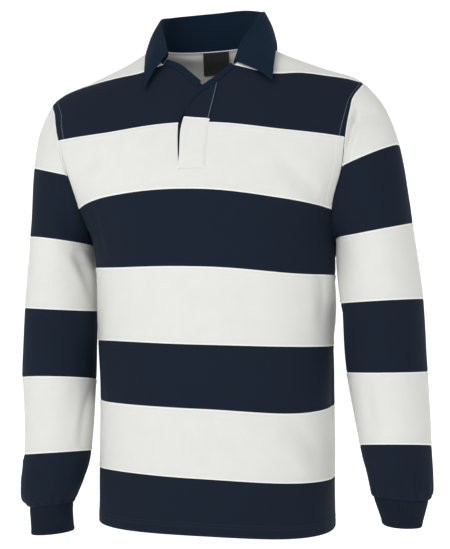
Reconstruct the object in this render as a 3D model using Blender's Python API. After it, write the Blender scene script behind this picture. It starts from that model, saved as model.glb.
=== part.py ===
"""A long-sleeved rugby shirt, cut and sewn from broad navy and off-white jersey panels.

The shirt is filled out as worn. Metres, +Z up. The origin is at the base of the neck, level with the
shoulder points of the neckline. The front faces -Y and the wearer's left arm is at +X.
Every panel is a wall of cloth: its outer face lies on the shirt's form and its inner face is moved in
along the form's own normals, so neighbouring panels stay a seam's gap apart.
"""

from collections import namedtuple
from math import acos, cos, pi, radians, sin

import bmesh
import bpy
import numpy as np

# Cloth.
JERSEY = 0.0017          # wall of the body and sleeve panels
RIB = 0.0020             # wall of the cuffs
DRILL = 0.0016           # wall of the collar and neck bands
TAPE = 0.0010            # wall of the neck label
SEAM_GAP = 0.0003        # between pieces that are sewn together
LAY_GAP = 0.0006         # between a panel and a band or placket that lies along it

# The worn pose: the shoulders roll a little and lean to the wearer's right, the hem stays level.
SHOULDER_ROLL = radians(2.2)
ROLL_FROM, ROLL_TO = -0.150, -0.070
SHOULDER_LEAN = -0.020
LEAN_FROM, LEAN_TO = -0.400, -0.130

# The body's form: horizontal sections, each a superellipse about a middle plane. Above the shoulder
# tips the half width is where the shoulder ridge is at that height.
SQUARENESS = 2.3
Section = namedtuple("Section", "z half_width front back middle")
BODY = [
    Section(-0.770, 0.185, 0.124, 0.118, 0.000),
    Section(-0.660, 0.184, 0.122, 0.112, 0.000),
    Section(-0.560, 0.182, 0.121, 0.104, 0.000),
    Section(-0.450, 0.183, 0.121, 0.099, 0.000),
    Section(-0.350, 0.187, 0.126, 0.104, 0.000),
    Section(-0.300, 0.192, 0.130, 0.109, 0.000),
    Section(-0.250, 0.214, 0.132, 0.114, 0.001),
    Section(-0.200, 0.240, 0.128, 0.118, 0.003),
    Section(-0.150, 0.258, 0.120, 0.117, 0.006),
    Section(-0.110, 0.259, 0.109, 0.111, 0.009),
    Section(-0.079, 0.246, 0.096, 0.104, 0.010),
    Section(-0.070, 0.234, 0.091, 0.101, 0.010),
    Section(-0.056, 0.197, 0.082, 0.096, 0.010),
    Section(-0.041, 0.160, 0.071, 0.089, 0.009),
    Section(-0.028, 0.130, 0.061, 0.082, 0.009),
    Section(-0.014, 0.104, 0.048, 0.073, 0.008),
    Section(0.000, 0.078, 0.036, 0.066, 0.007),
    Section(0.014, 0.062, 0.028, 0.058, 0.006),
]
TIP_Z = -0.079           # shoulder tips, the top of both armholes

# The armhole: how far inside the form's half width its edge runs, from the tip (0) to the underarm (1),
# on the wearer's right and left fronts and on the back.
Armhole = namedtuple("Armhole", "down right left back")
ARMHOLE = [
    Armhole(0.000, 0.000, 0.000, 0.000),
    Armhole(0.090, 0.0215, 0.0210, 0.014),
    Armhole(0.180, 0.0330, 0.0285, 0.022),
    Armhole(0.320, 0.0405, 0.0300, 0.028),
    Armhole(0.550, 0.0350, 0.0200, 0.021),
    Armhole(0.800, 0.0167, 0.0115, 0.010),
    Armhole(0.930, 0.0065, 0.0050, 0.004),
    Armhole(1.000, 0.000, 0.000, 0.000),
]

# Where the stripe panels are seamed together: heights across the front from the wearer's right side to
# the left side, and at the centre back.
Seam = namedtuple("Seam", "right right_mid front left_mid left back")
SEAMS = [
    Seam(-0.1542, -0.1475, -0.1350, -0.1477, -0.1572, -0.1450),
    Seam(-0.2600, -0.2430, -0.2353, -0.2490, -0.2640, -0.2500),
    Seam(-0.3505, -0.3505, -0.3490, -0.3594, -0.3618, -0.3560),
    Seam(-0.4647, -0.4617, -0.4640, -0.4673, -0.4700, -0.4680),
    Seam(-0.5568, -0.5556, -0.5583, -0.5655, -0.5616, -0.5600),
    Seam(-0.6623, -0.6580, -0.6610, -0.6682, -0.6709, -0.6680),
    Seam(-0.7455, -0.7450, -0.7449, -0.7496, -0.7490, -0.7470),
]
UNDERARM_SHARE = 0.42    # how far down the third stripe the armholes end
YOKE_SIDE, YOKE_BACK = -0.100, -0.056    # the back yoke seam, at the armholes and at the centre

# The forward shoulder seams from the shoulder tip to the neckline, the neckline in front of them, and
# the neckline beside the neck.
Point = namedtuple("Point", "x z")
SHOULDER_RIGHT = [Point(-0.246, TIP_Z), Point(-0.225, -0.070), Point(-0.200, -0.063),
                  Point(-0.160, -0.056), Point(-0.120, -0.0514), Point(-0.092, -0.0490),
                  Point(-0.053, -0.038)]
SHOULDER_LEFT = [Point(0.246, TIP_Z), Point(0.225, -0.0745), Point(0.200, -0.0709),
                 Point(0.160, -0.0653), Point(0.120, -0.0655), Point(0.060, -0.048)]
NECK_RIGHT = [Point(-0.053, -0.038), Point(-0.036, -0.043), Point(-0.012, -0.058), Point(0.014, -0.077)]
NECK_LEFT = [Point(0.060, -0.048), Point(0.052, -0.054), Point(0.043, -0.062), Point(0.034, -0.070)]
HIGH_POINT = Point(0.078, 0.0)
NECK_SIDE = 0.012        # how far the neckline bows out between the forward seam and the high point

# The front opening. The right half's edge runs under the placket, the left half ends at its stitching.
RIGHT_EDGE = -0.018
LEFT_EDGE = 0.024
PLACKET_FREE = [Point(-0.0150, -0.205), Point(-0.0131, -0.186), Point(-0.0104, -0.163),
                Point(-0.0098, -0.151), Point(-0.0086, -0.139), Point(-0.0069, -0.127),
                Point(-0.0055, -0.118), Point(-0.0021, -0.104), Point(0.0023, -0.097),
                Point(0.0060, -0.090)]
PLACKET_SEAM = Point(0.0325, -0.1313)    # where its colour seam meets its sewn edge
PLACKET_FALL = 0.10      # how much the colour seam drops for each metre from the free edge to there
PLACKET_SLANT = 0.10     # how far the sewn edge leans to the free edge for each metre down
PLACKET_FOOT = -0.205
TUCK = 0.0018            # between the placket's top and the left neck band
UNDER_RIGHT, UNDER_LEFT = -0.032, 0.036
UNDER_TOP, UNDER_FOOT = -0.081, -0.196
BAND = 0.010             # width of the neck bands, and of the left one's tapered end and its share
BAND_END, BAND_TAPER = 0.003, 0.4
BAND_RIGHT = [Point(-0.0470, -0.0302), Point(-0.022, -0.0425), Point(-0.008, -0.0545), Point(0.012, -0.0725)]
BAND_LEFT = [Point(-0.0040, -0.1085), Point(-0.0003, -0.1010), Point(0.0040, -0.0935), Point(0.012, -0.0820),
             Point(0.032, -0.0660), Point(0.054, -0.0450)]

# Sleeves, from just under the arm to the end of the cuff: each ring's middle, its half width across,
# its half depth, the heights of its outer and inner ends, and how far its front is lifted.
Ring = namedtuple("Ring", "x y half_width half_depth outer inner lift")
SLEEVE_RIGHT = [
    Ring(-0.2500, -0.002, 0.0510, 0.068, -0.3025, -0.3150, 0.004),
    Ring(-0.2518, -0.008, 0.0560, 0.065, -0.4145, -0.4190, 0.002),
    Ring(-0.2514, -0.018, 0.0585, 0.061, -0.5260, -0.5250, 0.008),
    Ring(-0.2500, -0.032, 0.0535, 0.054, -0.6460, -0.6365, 0.006),
    Ring(-0.2548, -0.040, 0.0495, 0.050, -0.6870, -0.6800, 0.006),
    Ring(-0.2590, -0.042, 0.0430, 0.046, -0.7130, -0.7050, 0.005),
    Ring(-0.2552, -0.044, 0.0350, 0.040, -0.7260, -0.7170, 0.004),
    Ring(-0.2512, -0.048, 0.0340, 0.037, -0.7675, -0.7600, 0.002),
]
SLEEVE_LEFT = [
    Ring(0.2480, -0.008, 0.0560, 0.068, -0.2835, -0.3040, -0.003),
    Ring(0.2590, -0.012, 0.0610, 0.065, -0.3975, -0.4050, 0.002),
    Ring(0.2661, -0.018, 0.0605, 0.061, -0.5055, -0.5085, 0.003),
    Ring(0.2796, -0.032, 0.0532, 0.054, -0.6140, -0.6170, 0.008),
    Ring(0.2862, -0.037, 0.0495, 0.050, -0.6530, -0.6540, 0.006),
    Ring(0.2895, -0.041, 0.0465, 0.047, -0.6780, -0.6770, 0.005),
    Ring(0.2890, -0.044, 0.0420, 0.042, -0.6930, -0.6900, 0.004),
    Ring(0.2900, -0.048, 0.0294, 0.036, -0.7335, -0.7300, 0.002),
]
# The first sleeve seam is a plane across the sleeve cap: its height at a place, and its rise outwards.
CapSeam = namedtuple("CapSeam", "x z rise")
CAP_RIGHT = CapSeam(-0.2285, -0.2065, 0.22)
CAP_LEFT = CapSeam(0.209, -0.1975, 0.43)
# How steeply each cap leaves the armhole at the shoulder tip, and both leave it under the arm.
TILT_RIGHT, TILT_LEFT, TILT_UNDER = radians(53), radians(39), radians(85)
LEAVE_DEPTH = 0.35       # how much of its way forwards or back the sleeve takes as it leaves the armhole
# At the armhole's ridge the sleeve's wall leans to the body's wall: from where the two walls begin to
# face the same way to where it leans fully, and how far down the first ring this fades out.
ALIKE_FROM, ALIKE_TO = 0.2, 0.7
LEAN_FADE = 0.15
CUFF_EASE = 0.0016       # how far the rib cuff steps in from the gathered sleeve end

# The collar, from its front end to the centre back, on each side: its fold and its leaf's free edge.
Fall = namedtuple("Fall", "fold edge")
COLLAR_RIGHT = [
    Fall((-0.0430, -0.0592, -0.0240), (-0.0745, -0.0890, -0.0800)),
    Fall((-0.0540, -0.0340, 0.0040), (-0.0800, -0.0600, -0.0425)),
    Fall((-0.0675, 0.0040, 0.0395), (-0.0875, -0.0040, -0.0030)),
    Fall((-0.0590, 0.0450, 0.0520), (-0.0780, 0.0640, -0.0105)),
    Fall((-0.0260, 0.0690, 0.0580), (-0.0460, 0.0860, -0.0120)),
]
COLLAR_BACK = Fall((0.0100, 0.0750, 0.0600), (0.0060, 0.0920, -0.0110))
COLLAR_LEFT = [
    Fall((0.0595, -0.0650, -0.0420), (0.1205, -0.0900, -0.0800)),
    Fall((0.0670, -0.0360, -0.0080), (0.1200, -0.0620, -0.0460)),
    Fall((0.0910, 0.0040, 0.0370), (0.1150, -0.0060, -0.0080)),
    Fall((0.0820, 0.0450, 0.0500), (0.1000, 0.0600, -0.0180)),
    Fall((0.0500, 0.0690, 0.0595), (0.0600, 0.0860, -0.0120)),
]
COLLAR_SEWN = [0.0, 1.0, 2.0, 3.5, 5.0]  # the rows' places along the corners of half of the neckline
COLLAR_STATIONS = 20
COLLAR_LIFT = 0.0008     # how far the stand's foot is above the neckline it is sewn to
FOLD_OPEN = 0.0010       # space inside the collar's fold
LEAF_BOW = 0.0030        # how far the leaf rolls out on its way from the fold to its edge

LABEL_WIDTH, LABEL_DROP = 0.043, 0.038

# Facets.
SHOULDER_COLUMNS = 5     # columns of a front panel half along the shoulder seam
NECK_COLUMNS = 3         # and along the front neckline
SIDE_NECK_COLUMNS = 2    # columns of the yoke beside the neck
HALF_BACK_COLUMNS = 11   # columns of half of the back and of the yoke
UPPER_ROWS, LOWER_ROWS = 3, 2
UPPER_STRIPES = 3        # stripes with the upper number of rows
EASE = 1.5               # how much closer together the facets are at shoulder tips and the free edge
YOKE_ROWS = 4
CAP_ROWS = 4
CAP_CORNER = 0.15        # how far the cap's corners are drawn in, as a share of a column
SLEEVE_ROWS = [3, 2, 2, 2, 4]            # rows of the sleeve panels from the second to the sixth
SLEEVE_ENDS = [1.0, 2.0, 3.0, 4.0, 7.0]  # where they end, counted in rings from the armhole
CUFF_ROWS = 1
CUFF_END = 8.0
BAND_COLUMNS, BAND_ROWS = 10, 2
PLACKET_COLUMNS, PLACKET_ROWS = 7, 3
UNDER_COLUMNS, UNDER_ROWS = 4, 4

NAVY = (0.012, 0.020, 0.033, 1.0)
WHITE = (0.80, 0.80, 0.77, 1.0)
BLACK = (0.020, 0.020, 0.022, 1.0)


def spline(keys, values, at):
    """A smooth curve through a table's values, read at one place or at many."""
    keys = np.asarray(keys, float)
    values = np.asarray(values, float)
    slopes = np.gradient(values, keys, axis=0)
    at = np.clip(at, keys[0], keys[-1])
    i = np.clip(np.searchsorted(keys, at, side="right") - 1, 0, len(keys) - 2)
    span = keys[i + 1] - keys[i]
    t = (at - keys[i]) / span
    if values.ndim > 1:
        t, span = t[..., None], span[..., None]
    start = (1 + 2 * t) * (1 - t) ** 2 * values[i] + t * (1 - t) ** 2 * span * slopes[i]
    end = t * t * (3 - 2 * t) * values[i + 1] + t * t * (t - 1) * span * slopes[i + 1]
    return start + end


def column(table, name):
    return [getattr(row, name) for row in table]


def smoothstep(start, end, at):
    t = min(max((at - start) / (end - start), 0.0), 1.0)
    return t * t * (3 - 2 * t)


def unit(vector):
    return vector / max(np.linalg.norm(vector), 1e-12)


def body(name, z):
    return float(spline(column(BODY, "z"), column(BODY, name), z))


def form_point(x, z, side):
    """The point of the body's form at this width and height, on its front (-1) or its back (1)."""
    depth = body("front" if side < 0 else "back", z)
    out = 1 - min(abs(x) / body("half_width", z), 1.0) ** SQUARENESS
    return np.array([x, body("middle", z) + side * depth * out ** (1 / SQUARENESS), z])


def form_level(p):
    """Below 1 inside the form, above 1 outside it."""
    offset = p[1] - body("middle", p[2])
    depth = body("front" if offset < 0 else "back", p[2])
    across = abs(p[0]) / body("half_width", p[2])
    return across ** SQUARENESS + (abs(offset) / depth) ** SQUARENESS


def form_normal(p):
    """The form's outward direction, from how its level changes around a point."""
    step = 0.002
    return unit(np.array([form_level(p + d) - form_level(p - d) for d in np.eye(3) * step]))


def form_top(x, y):
    """The form's point straight above or below a place in plan, on the shoulders and the upper back."""
    low, high = -0.30, 0.014
    for _ in range(40):
        z = (low + high) / 2
        if form_level(np.array([x, y, z])) < 1:
            low = z
        else:
            high = z
    return np.array([x, y, low])


def pose(p):
    """Rolls and leans the shoulders over the level hem."""
    roll = SHOULDER_ROLL * smoothstep(ROLL_FROM, ROLL_TO, p[2])
    lean = SHOULDER_LEAN * smoothstep(LEAN_FROM, LEAN_TO, p[2])
    x = p[0] * cos(roll) - p[2] * sin(roll)
    z = p[0] * sin(roll) + p[2] * cos(roll)
    return np.array([x + lean, p[1], z])


def underarm(arm):
    """The height where an armhole meets the side seam, on the wearer's right (-1) or left (1)."""
    top, foot = side_z(1, arm), side_z(2, arm)
    return top + (foot - top) * UNDERARM_SHARE


def side_z(seam, arm):
    return SEAMS[seam].right if arm < 0 else SEAMS[seam].left


def edge_x(z, arm, side):
    """How far out a body panel reaches at a height: the armhole's edge, or below it the side seam."""
    down = min(max((TIP_Z - z) / (TIP_Z - underarm(arm)), 0.0), 1.0)
    front = "right" if arm < 0 else "left"
    inset = spline(column(ARMHOLE, "down"), column(ARMHOLE, front if side < 0 else "back"), down)
    return body("half_width", z) - float(inset)


def panel_point(across, z, side):
    """A point of a front (-1) or back (1) panel, from its place between the two edges (-1 to 1)."""
    arm = -1 if across < 0 else 1
    half = body("half_width", z)
    turn = np.arcsin((edge_x(z, arm, side) / half) ** (SQUARENESS / 2)) * across
    x = half * np.sign(turn) * abs(sin(turn)) ** (2 / SQUARENESS)
    return form_point(x, z, side)


def across_at(x, z, side):
    """The place between the panel's edges of a given width, the inverse of panel_point."""
    half = body("half_width", z)
    arm = -1 if x < 0 else 1
    whole = np.arcsin((edge_x(z, arm, side) / half) ** (SQUARENESS / 2))
    return np.sign(x) * np.arcsin((abs(x) / half) ** (SQUARENESS / 2)) / whole


def seam_z(seam, across, side):
    """The height of a stripe seam at a place across the front or the back; the yoke's is seam -1."""
    if seam < 0:
        return YOKE_BACK + (YOKE_SIDE - YOKE_BACK) * across * across
    row = SEAMS[seam]
    if side < 0:
        return float(spline([-1.0, -0.5, 0.0, 0.5, 1.0], row[:5], across))
    edge = row.right if across < 0 else row.left
    return row.back + (edge - row.back) * across * across


def between(start, end, count):
    return [start + (end - start) * i / count for i in range(count + 1)]


def trim(grid, top=True, foot=True, left=True, right=True):
    """Draws a grid's edges in by half of the seam gap, so that each piece is clear of its neighbours."""
    grid = grid.copy()
    for wanted, edge, inner in [(top, 0, 1), (foot, -1, -2)]:
        if wanted:
            for p, q in zip(grid[edge], grid[inner].copy()):
                p += unit(q - p) * SEAM_GAP / 2
    for wanted, edge, inner in [(left, 0, 1), (right, -1, -2)]:
        if wanted:
            for p, q in zip(grid[:, edge], grid[:, inner].copy()):
                p += unit(q - p) * SEAM_GAP / 2
    return grid


def material(name, colour, roughness):
    found = bpy.data.materials.get(name)
    if found is None:
        found = bpy.data.materials.new(name)
        found.use_nodes = True
        shader = found.node_tree.nodes["Principled BSDF"]
        shader.inputs["Base Color"].default_value = colour
        shader.inputs["Roughness"].default_value = roughness
    return found


def navy_jersey():
    return material("navy_jersey", NAVY, 0.85)


def white_jersey():
    return material("white_jersey", WHITE, 0.85)


def navy_rib():
    return material("navy_rib", NAVY, 0.90)


def navy_drill():
    return material("navy_drill", NAVY, 0.75)


def black_tape():
    return material("black_tape", BLACK, 0.60)


def add_wall(name, outer, inner, finish, around=False, missing=()):
    """Makes a closed wall of cloth from two matching grids of points; missing lists (row, column) cells.

    Each cell is two triangles, which both grids split along the same diagonal, the outer cell's shorter one.
    """
    mesh = bmesh.new()
    rows, columns = outer.shape[:2]
    skins = [[[mesh.verts.new(p) for p in row] for row in grid] for grid in (outer, inner)]
    cells = columns if around else columns - 1
    kept = {(i, j) for i in range(rows - 1) for j in range(cells)} - set(missing)
    for i, j in sorted(kept):
        k = (j + 1) % columns
        ring = [(i, j), (i + 1, j), (i + 1, k), (i, k)]
        corners = [outer[cell] for cell in ring]
        turned = int(np.linalg.norm(corners[1] - corners[3]) < np.linalg.norm(corners[0] - corners[2]))
        for half in ((0, 1, 2), (0, 2, 3)):
            places = [ring[(n + turned) % 4] for n in half]
            mesh.faces.new([skins[0][a][b] for a, b in places])
            mesh.faces.new([skins[1][a][b] for a, b in reversed(places)])
        before, after = ((j - 1) % cells, (j + 1) % cells) if around else (j - 1, j + 1)
        beside = [(i, before), (i + 1, j), (i, after), (i - 1, j)]
        for n, cell in enumerate(beside):
            if cell not in kept:
                (a, b), (c, d) = ring[n], ring[(n + 1) % 4]
                mesh.faces.new([skins[0][c][d], skins[0][a][b], skins[1][a][b], skins[1][c][d]])
    finish_mesh(name, mesh, finish)


def finish_mesh(name, mesh, finish):
    """Turns a closed mesh's faces outwards and adds it to the shirt as a named piece."""
    loose = [v for v in mesh.verts if not v.link_faces]
    bmesh.ops.delete(mesh, geom=loose, context="VERTS")
    bmesh.ops.recalc_face_normals(mesh, faces=mesh.faces)
    data = bpy.data.meshes.new(name)
    mesh.to_mesh(data)
    mesh.free()
    data.materials.append(finish)
    data.shade_smooth()
    data.set_sharp_from_angle(angle=radians(40))
    piece = bpy.data.objects.new(name, data)
    bpy.data.collections["rugby_shirt"].objects.link(piece)


def add_body_wall(name, grid, finish, outside=0.0, wall=JERSEY, missing=()):
    """Makes a wall on the body's form: its outer face is the grid, moved out, and then posed."""
    out = np.array([[form_normal(p) for p in row] for row in grid])
    outer = grid + out * outside
    inner = outer - out * wall
    posed = [np.array([[pose(p) for p in row] for row in skin]) for skin in (outer, inner)]
    add_wall(name, posed[0], posed[1], finish, missing=missing)


def front_columns():
    """Where the columns of the front panels stand: both halves, with the two edges of the opening."""
    count = SHOULDER_COLUMNS + NECK_COLUMNS
    right = across_at(RIGHT_EDGE, SEAMS[0].front, -1)
    left = across_at(LEFT_EDGE, SEAMS[0].front, -1)
    return between(-1.0, right, count), between(left, 1.0, count)


def stripe_shares(stripe):
    """The rows of a stripe panel; the third stripe has a row where the armholes end."""
    if stripe == 2:
        return [0.0, UNDERARM_SHARE / 2, UNDERARM_SHARE, (1 + UNDERARM_SHARE) / 2, 1.0]
    return between(0.0, 1.0, UPPER_ROWS if stripe < UPPER_STRIPES else LOWER_ROWS)


def eased(start, end, count):
    """Heights down from a shoulder tip, closer together where the cloth turns over the ridge."""
    return [start + (end - start) * share ** EASE for share in between(0.0, 1.0, count)]


def path_points(points, count):
    """Points evenly spaced in x along a seam given by its named places."""
    ordered = sorted(points, key=lambda p: p.x)
    xs = between(points[0].x, points[-1].x, count)
    return [Point(x, float(spline(column(ordered, "x"), column(ordered, "z"), x))) for x in xs]


def stripe_name(panel, stripe):
    return f"{panel}_{stripe + 1}_{'white' if stripe % 2 else 'navy'}"


def stripe_finish(stripe):
    return white_jersey() if stripe % 2 else navy_jersey()


def add_first_front(name, arm, shoulder, neck, columns):
    """The first front panel of one half: shoulder seam and neckline above, the first stripe seam below."""
    upper = path_points(shoulder, SHOULDER_COLUMNS) + path_points(neck, NECK_COLUMNS)[1:]
    if arm > 0:
        upper = upper[::-1]
    rows = UPPER_ROWS + 1
    grid = np.zeros((rows + 1, len(columns), 3))
    edge = 0 if arm < 0 else len(columns) - 1
    for j, (start, across) in enumerate(zip(upper, columns)):
        end = panel_point(across, seam_z(0, across, -1), -1)
        heights = eased(start.z, end[2], rows) if j == edge else between(start.z, end[2], rows)
        for i, z in enumerate(heights):
            x = start.x + (end[0] - start.x) * i / rows
            if j == edge:
                x = arm * edge_x(z, arm, -1)
            grid[i, j] = form_point(x, z, -1)
    add_body_wall(name, trim(grid), navy_jersey())


def add_front():
    right, left = front_columns()
    add_first_front("front_1_navy_right", -1, SHOULDER_RIGHT, NECK_RIGHT, right)
    add_first_front("front_1_navy_left", 1, SHOULDER_LEFT, NECK_LEFT, left)
    columns = right + left
    slit = len(right) - 1
    for stripe in range(1, len(SEAMS)):
        shares = stripe_shares(stripe)
        grid = stripe_grid(stripe, columns, -1)
        missing = [(i, slit) for i in range(len(shares) - 2)] if stripe == 1 else []
        add_body_wall(stripe_name("front", stripe), trim(grid), stripe_finish(stripe), missing=missing)


def stripe_grid(stripe, columns, side):
    shares = stripe_shares(stripe)
    grid = np.zeros((len(shares), len(columns), 3))
    for j, across in enumerate(columns):
        top = seam_z(stripe - 1, across, side)
        foot = seam_z(stripe, across, side)
        for i, share in enumerate(shares):
            grid[i, j] = panel_point(across, top + (foot - top) * share, side)
    return grid


def add_back():
    columns = between(1.0, -1.0, 2 * HALF_BACK_COLUMNS)
    for stripe in range(len(SEAMS)):
        grid = stripe_grid(stripe, columns, 1)
        add_body_wall(stripe_name("back", stripe), trim(grid), stripe_finish(stripe))


def neck_side(corner, arm):
    """The neckline beside the neck, from the forward shoulder seam up to the high point."""
    points = []
    for share in between(0.0, 1.0, SIDE_NECK_COLUMNS)[1:]:
        x = corner.x + (arm * HIGH_POINT.x - corner.x) * share
        z = corner.z + (HIGH_POINT.z - corner.z) * share
        points.append(form_point(x + arm * NECK_SIDE * share * (1 - share), z, -1))
    return points


def yoke_top(arm, shoulder):
    """Half of the yoke's upper edge, from the shoulder tip to the centre back of the neck."""
    points = [form_point(p.x, p.z, -1) for p in path_points(shoulder, SHOULDER_COLUMNS)]
    points += neck_side(shoulder[-1], arm)
    rest = HALF_BACK_COLUMNS - SHOULDER_COLUMNS - SIDE_NECK_COLUMNS
    for turn in between(pi / 2, 0.0, rest)[1:]:
        points.append(form_point(arm * HIGH_POINT.x * sin(turn) ** (2 / SQUARENESS), HIGH_POINT.z, 1))
    return points


def yoke_grid():
    """The points of the back yoke, from the forward shoulder seams over the ridge to the first panel."""
    upper = yoke_top(1, SHOULDER_LEFT) + yoke_top(-1, SHOULDER_RIGHT)[-2::-1]
    columns = between(1.0, -1.0, 2 * HALF_BACK_COLUMNS)
    grid = np.zeros((YOKE_ROWS + 1, len(columns), 3))
    for j, (start, across) in enumerate(zip(upper, columns)):
        end = panel_point(across, seam_z(-1, across, 1), 1)
        for i, share in enumerate(between(0.0, 1.0, YOKE_ROWS)):
            place = start + (end - start) * share
            grid[i, j] = form_top(place[0], place[1])
        grid[0, j] = start
        grid[-1, j] = end
    for edge, arm in ((0, 1), (-1, -1)):
        for i, z in enumerate(eased(TIP_Z, YOKE_SIDE, YOKE_ROWS)):
            grid[i, edge] = form_point(arm * edge_x(z, arm, 1), z, 1)
    return grid


def band_rows(path, end=BAND):
    """The upper and lower edges of a neck band, as places on the form; it may taper to its right end."""
    upper = path_points(path, BAND_COLUMNS)
    lower = []
    for i, p in enumerate(upper):
        before, after = upper[max(i - 1, 0)], upper[min(i + 1, len(upper) - 1)]
        run, fall = after.x - before.x, after.z - before.z
        width = end + (BAND - end) * smoothstep(0.0, BAND_TAPER, i / BAND_COLUMNS)
        share = width / (run * run + fall * fall) ** 0.5
        lower.append(Point(p.x + fall * share, p.z - run * share))
    return upper, lower


def add_band(name, rows):
    upper, lower = rows
    grid = np.zeros((BAND_ROWS + 1, len(upper), 3))
    for j, (p, q) in enumerate(zip(upper, lower)):
        for i, share in enumerate(between(0.0, 1.0, BAND_ROWS)):
            grid[i, j] = form_point(p.x + (q.x - p.x) * share, p.z + (q.z - p.z) * share, -1)
    add_body_wall(name, grid, navy_drill(), outside=LAY_GAP + DRILL, wall=DRILL)


def placket_x(share, z):
    """A place between the placket's free edge (0) and its sewn edge (1) at a height."""
    free = float(np.interp(z, column(PLACKET_FREE, "z"), column(PLACKET_FREE, "x")))
    sewn = PLACKET_SEAM.x + PLACKET_SLANT * (z - PLACKET_SEAM.z)
    return free + (sewn - free) * share


def add_placket():
    """The outer placket over the opening, its navy piece above its white piece, and the under placket."""
    lower = band_rows(BAND_LEFT, BAND_END)[1]
    shares = [share ** EASE for share in between(0.0, 1.0, PLACKET_COLUMNS)]
    tops = []
    seam = []
    for share in shares:
        x, z = placket_x(share, PLACKET_SEAM.z), PLACKET_FREE[-1].z
        seam.append(PLACKET_SEAM.z + PLACKET_FALL * (PLACKET_SEAM.x - x))
        for _ in range(20):
            z = float(np.interp(placket_x(share, z), column(lower, "x"), column(lower, "z"))) - TUCK
        tops.append(z)
    feet = [PLACKET_FOOT] * len(shares)
    pieces = [("placket_navy", tops, seam, navy_jersey()), ("placket_white", seam, feet, white_jersey())]
    for name, starts, ends, finish in pieces:
        grid = np.zeros((PLACKET_ROWS + 1, len(shares), 3))
        for j, (share, start, end) in enumerate(zip(shares, starts, ends)):
            for i, z in enumerate(between(start, end, PLACKET_ROWS)):
                grid[i, j] = form_point(placket_x(share, z), z, -1)
        add_body_wall(name, trim(grid), finish, outside=LAY_GAP + JERSEY)
    grid = np.zeros((UNDER_ROWS + 1, UNDER_COLUMNS + 1, 3))
    for j, x in enumerate(between(UNDER_RIGHT, UNDER_LEFT, UNDER_COLUMNS)):
        for i, z in enumerate(between(UNDER_TOP, UNDER_FOOT, UNDER_ROWS)):
            grid[i, j] = form_point(x, z, -1)
    add_body_wall("placket_under", grid, navy_jersey(), outside=-LAY_GAP - JERSEY)


def collar_rows():
    """The collar's fold and edge at each row of its table, from its right end to its left."""
    falls = COLLAR_RIGHT + [COLLAR_BACK] + COLLAR_LEFT[::-1]
    return np.array([np.concatenate(fall) for fall in falls])


def collar_places():
    """Where each row of the collar's table is sewn on, counted along the neckline's corners."""
    last = 2 * (HALF_BACK_COLUMNS - SHOULDER_COLUMNS)
    return COLLAR_SEWN + [last / 2] + [last - place for place in COLLAR_SEWN[::-1]]


def add_collar(neckline):
    """The folded collar: a stand that rises from the neckline and a leaf that falls outside it."""
    rows = collar_rows()
    keys = range(len(rows))
    up = np.array([0.0, 0.0, 1.0])
    skins = []
    for station in between(0.0, len(rows) - 1.0, COLLAR_STATIONS):
        place = float(np.interp(station, keys, collar_places()))
        seam = grid_point(np.array([neckline, neckline]), 0, place) + up * COLLAR_LIFT
        fold, edge = spline(keys, rows, np.array([station]))[0].reshape(2, 3)
        fall = edge - fold
        out = unit(fall * [1, 1, 0])
        face = unit(out * -fall[2] + up * (fall @ out))
        inner = fold + out * (DRILL + FOLD_OPEN)
        outer = inner + out * DRILL
        bow = face * LEAF_BOW
        section = [seam, fold, fold + out * DRILL / 2 + up * DRILL, inner + out * DRILL / 2 + up * DRILL,
                   outer, (outer + edge + face * DRILL) / 2 + bow, edge + face * DRILL,
                   edge, (inner + edge) / 2 + bow, inner, fold + out * DRILL, seam + out * DRILL]
        skins.append([pose(p) for p in section])
    stand, leaf = [(0, 1, 10, 11)], [(4, 5, 8, 9), (5, 6, 7, 8)]
    fold_over = [(1, 2, 10), (2, 3, 9, 10), (3, 4, 9)]
    add_sweep("collar", skins, stand + fold_over + leaf, navy_drill())


def add_sweep(name, sections, end_faces, finish):
    """Makes a solid from a row of closed sections with the same number of points, closed by end faces.

    The first half of a section's points goes out along one face of its walls and the other half comes
    back along the other face, so the two halves are split along opposite diagonals, which then match.
    """
    mesh = bmesh.new()
    rings = [[mesh.verts.new(p) for p in section] for section in sections]
    count = len(rings[0])
    for a, b in zip(rings, rings[1:]):
        for i in range(count):
            j = (i + 1) % count
            cell = [a[i], a[j], b[j], b[i]] if i < count // 2 else [a[j], b[j], b[i], a[i]]
            mesh.faces.new(cell[:3])
            mesh.faces.new([cell[0], cell[2], cell[3]])
    for ring in (rings[0], rings[-1]):
        for face in end_faces:
            mesh.faces.new([ring[n] for n in face])
    finish_mesh(name, mesh, finish)


def grid_point(grid, row, col):
    """A point on a grid's facets, between its rows and columns."""
    i, j = min(int(row), len(grid) - 2), min(int(col), grid.shape[1] - 2)
    u, v = row - i, col - j
    upper = grid[i, j] * (1 - v) + grid[i, j + 1] * v
    lower = grid[i + 1, j] * (1 - v) + grid[i + 1, j + 1] * v
    return upper * (1 - u) + lower * u


def add_label(yoke):
    """The blank woven label, sewn inside the back of the neck along the yoke's own facets."""
    middle = HALF_BACK_COLUMNS
    reach = LABEL_WIDTH / 2 / abs(yoke[0, middle - 1][0] - yoke[0, middle][0])
    drops = [(yoke[0, middle] - p)[2] for p in yoke[:, middle]]
    foot = float(np.interp(LABEL_DROP, drops, range(len(drops))))
    rows = [i for i in range(len(drops)) if i < foot] + [foot]
    grid = np.array([[grid_point(yoke, row, middle + col) for col in (-reach, 0.0, reach)] for row in rows])
    add_body_wall("neck_label", trim(grid), black_tape(), outside=-LAY_GAP - JERSEY, wall=TAPE)


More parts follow.
